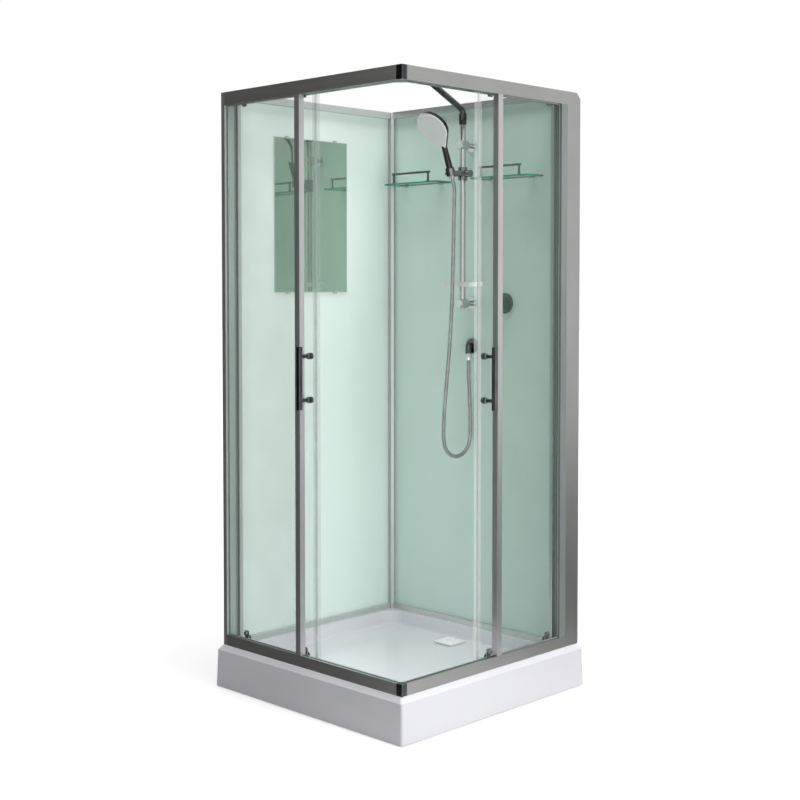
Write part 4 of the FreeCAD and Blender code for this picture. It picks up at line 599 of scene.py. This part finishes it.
def outlet_place():
    axis, top = middle("outlet_hose_nut"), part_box("outlet_hose_nut")[1].z
    return Matrix.Translation((axis.x, axis.y, top))


piece("outlet_grip", *grip_ring(outlet_place(), *OUTLET_GRIP), chrome, "root", "chrome", smooth=False)


# Shower hose, from the outlet nut up to the handset
SHOWER_X = 0.012
HOSE_DIAMETER = 0.014
HOSE_PITCH = 0.0040
HOSE_SIDES = 14
RIB_SHARES = (1.0, 1.0, 0.965, 0.90)
SPLINE_ORDER, SPLINE_FINENESS = 3, 32
TINY = 1e-9
hose_route = [
    (0.339, 1.113), (0.339, 1.068), (0.345, 0.985), (0.350, 0.890), (0.348, 0.818), (0.3213, 0.7815),
    (0.278, 0.7674), (0.2347, 0.7815), (0.208, 0.818), (0.207, 0.890), (0.216, 0.985), (0.237, 1.150),
    (0.252, 1.330), (0.261972, 1.696134), (0.262843, 1.728122), (0.251376, 1.757996)]


def spline_points(route):
    """Points along the route's smooth spline, read from a bare curve."""
    data = bpy.data.curves.new("hose_line", "CURVE")
    data.dimensions = "3D"
    spline = data.splines.new("NURBS")
    spline.points.add(len(route) - 1)
    for point, (y, z) in zip(spline.points, route):
        point.co = (SHOWER_X, y, z, 1.0)
    spline.order_u = SPLINE_ORDER
    spline.use_endpoint_u = True
    spline.resolution_u = SPLINE_FINENESS
    holder = bpy.data.objects.new("hose_line", data)
    line = bpy.data.meshes.new_from_object(holder)
    points = [v.co.copy() for v in line.vertices]
    bpy.data.objects.remove(holder)
    bpy.data.meshes.remove(line)
    bpy.data.curves.remove(data)
    return points


def evenly(points, step):
    """The same line at even steps, and its length."""
    lengths = [0.0]
    for a, b in zip(points, points[1:]):
        lengths.append(lengths[-1] + (b - a).length)
    count = round(lengths[-1] / step)
    out, i = [], 0
    for k in range(count + 1):
        at = lengths[-1] * k / count
        while i < len(points) - 2 and lengths[i + 1] < at:
            i += 1
        share = (at - lengths[i]) / max(lengths[i + 1] - lengths[i], TINY)
        out.append(points[i].lerp(points[i + 1], share))
    return out, lengths[-1]


def hose():
    """The ribbed tube, whose rows of points follow the line a quarter of a rib apart."""
    line, length = evenly(spline_points(hose_route), HOSE_PITCH / len(RIB_SHARES))
    across = Vector((1.0, 0.0, 0.0))
    points = []
    for i, centre in enumerate(line):
        ahead = line[min(i + 1, len(line) - 1)] - line[max(i - 1, 0)]
        up = ahead.normalized().cross(across)
        radius = HOSE_DIAMETER / 2.0 * RIB_SHARES[i % len(RIB_SHARES)]
        for k in range(HOSE_SIDES):
            spot = on_circle(radius, k / HOSE_SIDES)
            points.append(centre + across * spot.x + up * spot.y)
    faces = bands(len(line), HOSE_SIDES)
    faces.append(tuple(range(HOSE_SIDES - 1, -1, -1)))
    faces.append(tuple(range(len(points) - HOSE_SIDES, len(points))))
    made = piece("hose_tube", points, faces, hose_metal, slot="hose")
    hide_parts("shower_hose")
    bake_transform(made)


hose()


# Handset: its place in the holder, where its neck bends, and its face
HANDSET_Y, HANDSET_Z = 0.246, 1.772
LEAN, BEND = math.radians(21.0), math.radians(22.0)
NECK_HEIGHT = 0.112
HEAD_RADIUS, TAIL_RADIUS, HEAD_REACH = 0.060, 0.012, 0.080
FACE_DEPTH = 0.011
handset_place = Matrix.Translation((SHOWER_X, HANDSET_Y, HANDSET_Z)) @ Matrix.Rotation(LEAN, 4, "X")
neck_place = handset_place @ Matrix.Translation((0.0, 0.0, NECK_HEIGHT)) @ Matrix.Rotation(BEND, 4, "X")
face_place = (neck_place @ Matrix.Translation((0.0, -FACE_DEPTH, HEAD_REACH))
              @ Matrix.Rotation(QUARTER_TURN, 4, "X"))


# White bezel round the handset's face, as margin inside the head's outline and depth
BEZEL_ROWS = [(-0.0005, 0.0075), (-0.0005, 0.0102), (0.0006, 0.0109), (0.0042, 0.0109)]
ARC_STEPS = 24


def drop_outline(margin):
    """The head's outline, drawn in by a margin: a large arc at the top and a small one at the neck."""
    slope = math.asin((HEAD_RADIUS - TAIL_RADIUS) / HEAD_REACH)
    points = []
    for centre, radius, start, turn in ((HEAD_REACH, HEAD_RADIUS - margin, -slope, math.pi + 2.0 * slope),
                                        (0.0, TAIL_RADIUS - margin, math.pi + slope, math.pi - 2.0 * slope)):
        for k in range(ARC_STEPS + 1):
            angle = start + turn * k / ARC_STEPS
            points.append((radius * math.cos(angle), centre + radius * math.sin(angle)))
    return points


def handset_bezel():
    points = [neck_place @ Vector((x, -depth, z)) for margin, depth in BEZEL_ROWS
              for x, z in drop_outline(margin)]
    return points, bands(len(BEZEL_ROWS), len(points) // len(BEZEL_ROWS))


piece("handset_bezel", *handset_bezel(), white_plastic, "handset", "white_plastic")
piece("handset_grip", *grip_ring(handset_place, *HANDSET_GRIP), chrome, "handset", "chrome", smooth=False)


# Nozzles on the handset and the rain head, in rings of a radius and a count
NOZZLE_SIDES, NOZZLE_SUNK, NOZZLE_HOLE = 8, 0.0004, 0.0002
SHOULDER_SHARE, SHOULDER_HEIGHT_SHARE, TIP_SHARE = 0.92, 0.6, 0.6
HANDSET_NOZZLE_RADIUS, HANDSET_NOZZLE_HEIGHT = 0.0011, 0.0010
HANDSET_RINGS = [(0.009, 6), (0.018, 12), (0.027, 18), (0.036, 24), (0.0445, 30)]
RAIN_NOZZLE_RADIUS, RAIN_NOZZLE_HEIGHT = 0.0016, 0.0016
RAIN_RING_STEP, RAIN_RING_GAIN, RAIN_RING_TOTAL = 0.012, 6, 7
RAIN_RINGS = [(RAIN_RING_STEP * k, RAIN_RING_GAIN * k) for k in range(1, RAIN_RING_TOTAL + 1)]


def nozzles(place, rings, radius, height):
    profile = [(radius, -NOZZLE_SUNK), (radius * SHOULDER_SHARE, height * SHOULDER_HEIGHT_SHARE),
               (radius * TIP_SHARE, height), (NOZZLE_HOLE, height)]
    parts = []
    for ring_radius, count in rings:
        for k in range(count):
            spot = place @ Matrix.Translation(on_circle(ring_radius, k / count))
            parts.append(turned(profile, spot, NOZZLE_SIDES))
    return gathered(parts)


def rain_place():
    """The middle of the rain head's underside, facing down."""
    axis, underside = middle("rain_head"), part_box("rain_head")[0].z
    return Matrix.Translation((axis.x, axis.y, underside)) @ Matrix.Rotation(math.pi, 4, "X")


handset_nozzles = nozzles(face_place, HANDSET_RINGS, HANDSET_NOZZLE_RADIUS, HANDSET_NOZZLE_HEIGHT)
rain_nozzles = nozzles(rain_place(), RAIN_RINGS, RAIN_NOZZLE_RADIUS, RAIN_NOZZLE_HEIGHT)
piece("handset_nozzles", *handset_nozzles, grey_plastic, "handset", "white_plastic")
piece("rain_nozzles", *rain_nozzles, rubber, "rain_head", "chrome_plastic")


# Stage
FLOOR_SIZE = 60.0
FLOOR_GREY, FLOOR_PALE = (0.60, 0.60, 0.60), (0.62, 0.62, 0.62)
GLOW_NEAR, GLOW_FAR = 0.42, 1.0
GLOW_START, GLOW_END = 1.0, 6.5
CARD_DARK, CARD_PALE = (0.020, 0.020, 0.020), (0.028, 0.028, 0.028)
CARD_SIZE, CARD_PLACE = 4.2, (-2.35, -2.35, 1.5)
CARD_LIFT, SOFT_EDGE = 0.003, 0.8
AMBIENT = 0.135


def flat_stage(name, size, look):
    half = size / 2.0
    points = [(-half, -half, 0.0), (half, -half, 0.0), (half, half, 0.0), (-half, half, 0.0)]
    made = piece(name, points, [(0, 1, 2, 3)], look)
    return made


def seen_rays(tree):
    """A socket that is 1 for camera, glossy and transmission rays, and 0 for the others."""
    path = tree.nodes.new("ShaderNodeLightPath")
    seen = path.outputs["Is Camera Ray"]
    for name in ("Is Glossy Ray", "Is Transmission Ray"):
        either = tree.nodes.new("ShaderNodeMath")
        either.operation = "MAXIMUM"
        tree.links.new(seen, either.inputs[0])
        tree.links.new(path.outputs[name], either.inputs[1])
        seen = either.outputs["Value"]
    return seen


def floor_look():
    """A pale floor that reads white to the camera and still takes the shadow."""
    look = Look("floor", roughness=0.9)
    look.colour(look.mix(look.span(look.noise(scale=0.7), 0.0, 1.0), FLOOR_GREY, FLOOR_PALE))
    glow = look.node("Emission")
    glow.inputs["Color"].default_value = WHITE
    level = look.span(look.distance(), GLOW_NEAR, GLOW_FAR, GLOW_START, GLOW_END)
    look.link(look.math("MULTIPLY", seen_rays(look.tree), level), glow.inputs["Strength"])
    both = look.node("AddShader")
    look.link(look.shader.outputs["BSDF"], both.inputs[0])
    look.link(glow.outputs["Emission"], both.inputs[1])
    look.link(both.outputs["Shader"], look.tree.nodes["Material Output"].inputs["Surface"])
    return look


def card_look(name):
    return mottled(name, CARD_DARK, CARD_PALE, scale=2.0, rough=(0.8, 0.9))


def upright_card(name, size, place):
    made = flat_stage(name, size, card_look(name))
    made.matrix_world = (Matrix.Translation(place) @ Matrix.Rotation(-EIGHTH_TURN, 4, "Z")
                         @ Matrix.Rotation(QUARTER_TURN, 4, "X"))
    return made


def soft_card(name, radius, place):
    """A round card that lies on the floor and fades out at its edge."""
    look = card_look(name)
    look.set("Alpha", look.span(look.distance(), 1.0, 0.0, radius - SOFT_EDGE, radius))
    made = flat_stage(name, 2.0 * radius, look)
    made.location = place
    return made


flat_stage("floor", FLOOR_SIZE, floor_look())

# Dark cards that only reflections see, which give the metal its gradient
cards = [upright_card("card", CARD_SIZE, CARD_PLACE),
         soft_card("right_floor_card", radius=3.6, place=(3.0, 2.9, CARD_LIFT)),
         soft_card("front_floor_card", radius=2.9, place=(-1.25, -2.50, CARD_LIFT))]
for card in cards:
    card.visible_camera = False
    card.visible_diffuse = False
    card.visible_shadow = False


def studio_world():
    """Even soft light on the object, in front of a white that the camera and reflections see."""
    world = bpy.data.worlds.new("studio")
    world.use_nodes = True
    tree = world.node_tree
    ambient = tree.nodes["Background"]
    white = tree.nodes.new("ShaderNodeBackground")
    for background, strength in ((ambient, AMBIENT), (white, 1.0)):
        background.inputs["Color"].default_value = WHITE
        background.inputs["Strength"].default_value = strength
    choose = tree.nodes.new("ShaderNodeMixShader")
    tree.links.new(seen_rays(tree), choose.inputs["Fac"])
    tree.links.new(ambient.outputs["Background"], choose.inputs[1])
    tree.links.new(white.outputs["Background"], choose.inputs[2])
    tree.links.new(choose.outputs["Shader"], tree.nodes["World Output"].inputs["Surface"])
    return world


def lamp(name, place, target, size, power):
    """A square lamp that reflections don't show."""
    data = bpy.data.lights.new(name, "AREA")
    data.shape = "SQUARE"
    data.size = size
    data.energy = power
    made = bpy.data.objects.new(name, data)
    made.location = place
    made.rotation_euler = (Vector(target) - Vector(place)).to_track_quat("-Z", "Y").to_euler()
    made.visible_glossy = False
    scene.collection.objects.link(made)


scene.world = studio_world()
lamp("key", place=(6.0, 0.0, 1.9), target=(0.0, 0.0, 1.0), size=3.4, power=225.0)
lamp("overhead", place=(0.2, 0.0, 8.0), target=(0.0, 0.0, 0.0), size=5.5, power=750.0)

scene.view_settings.view_transform = "Standard"
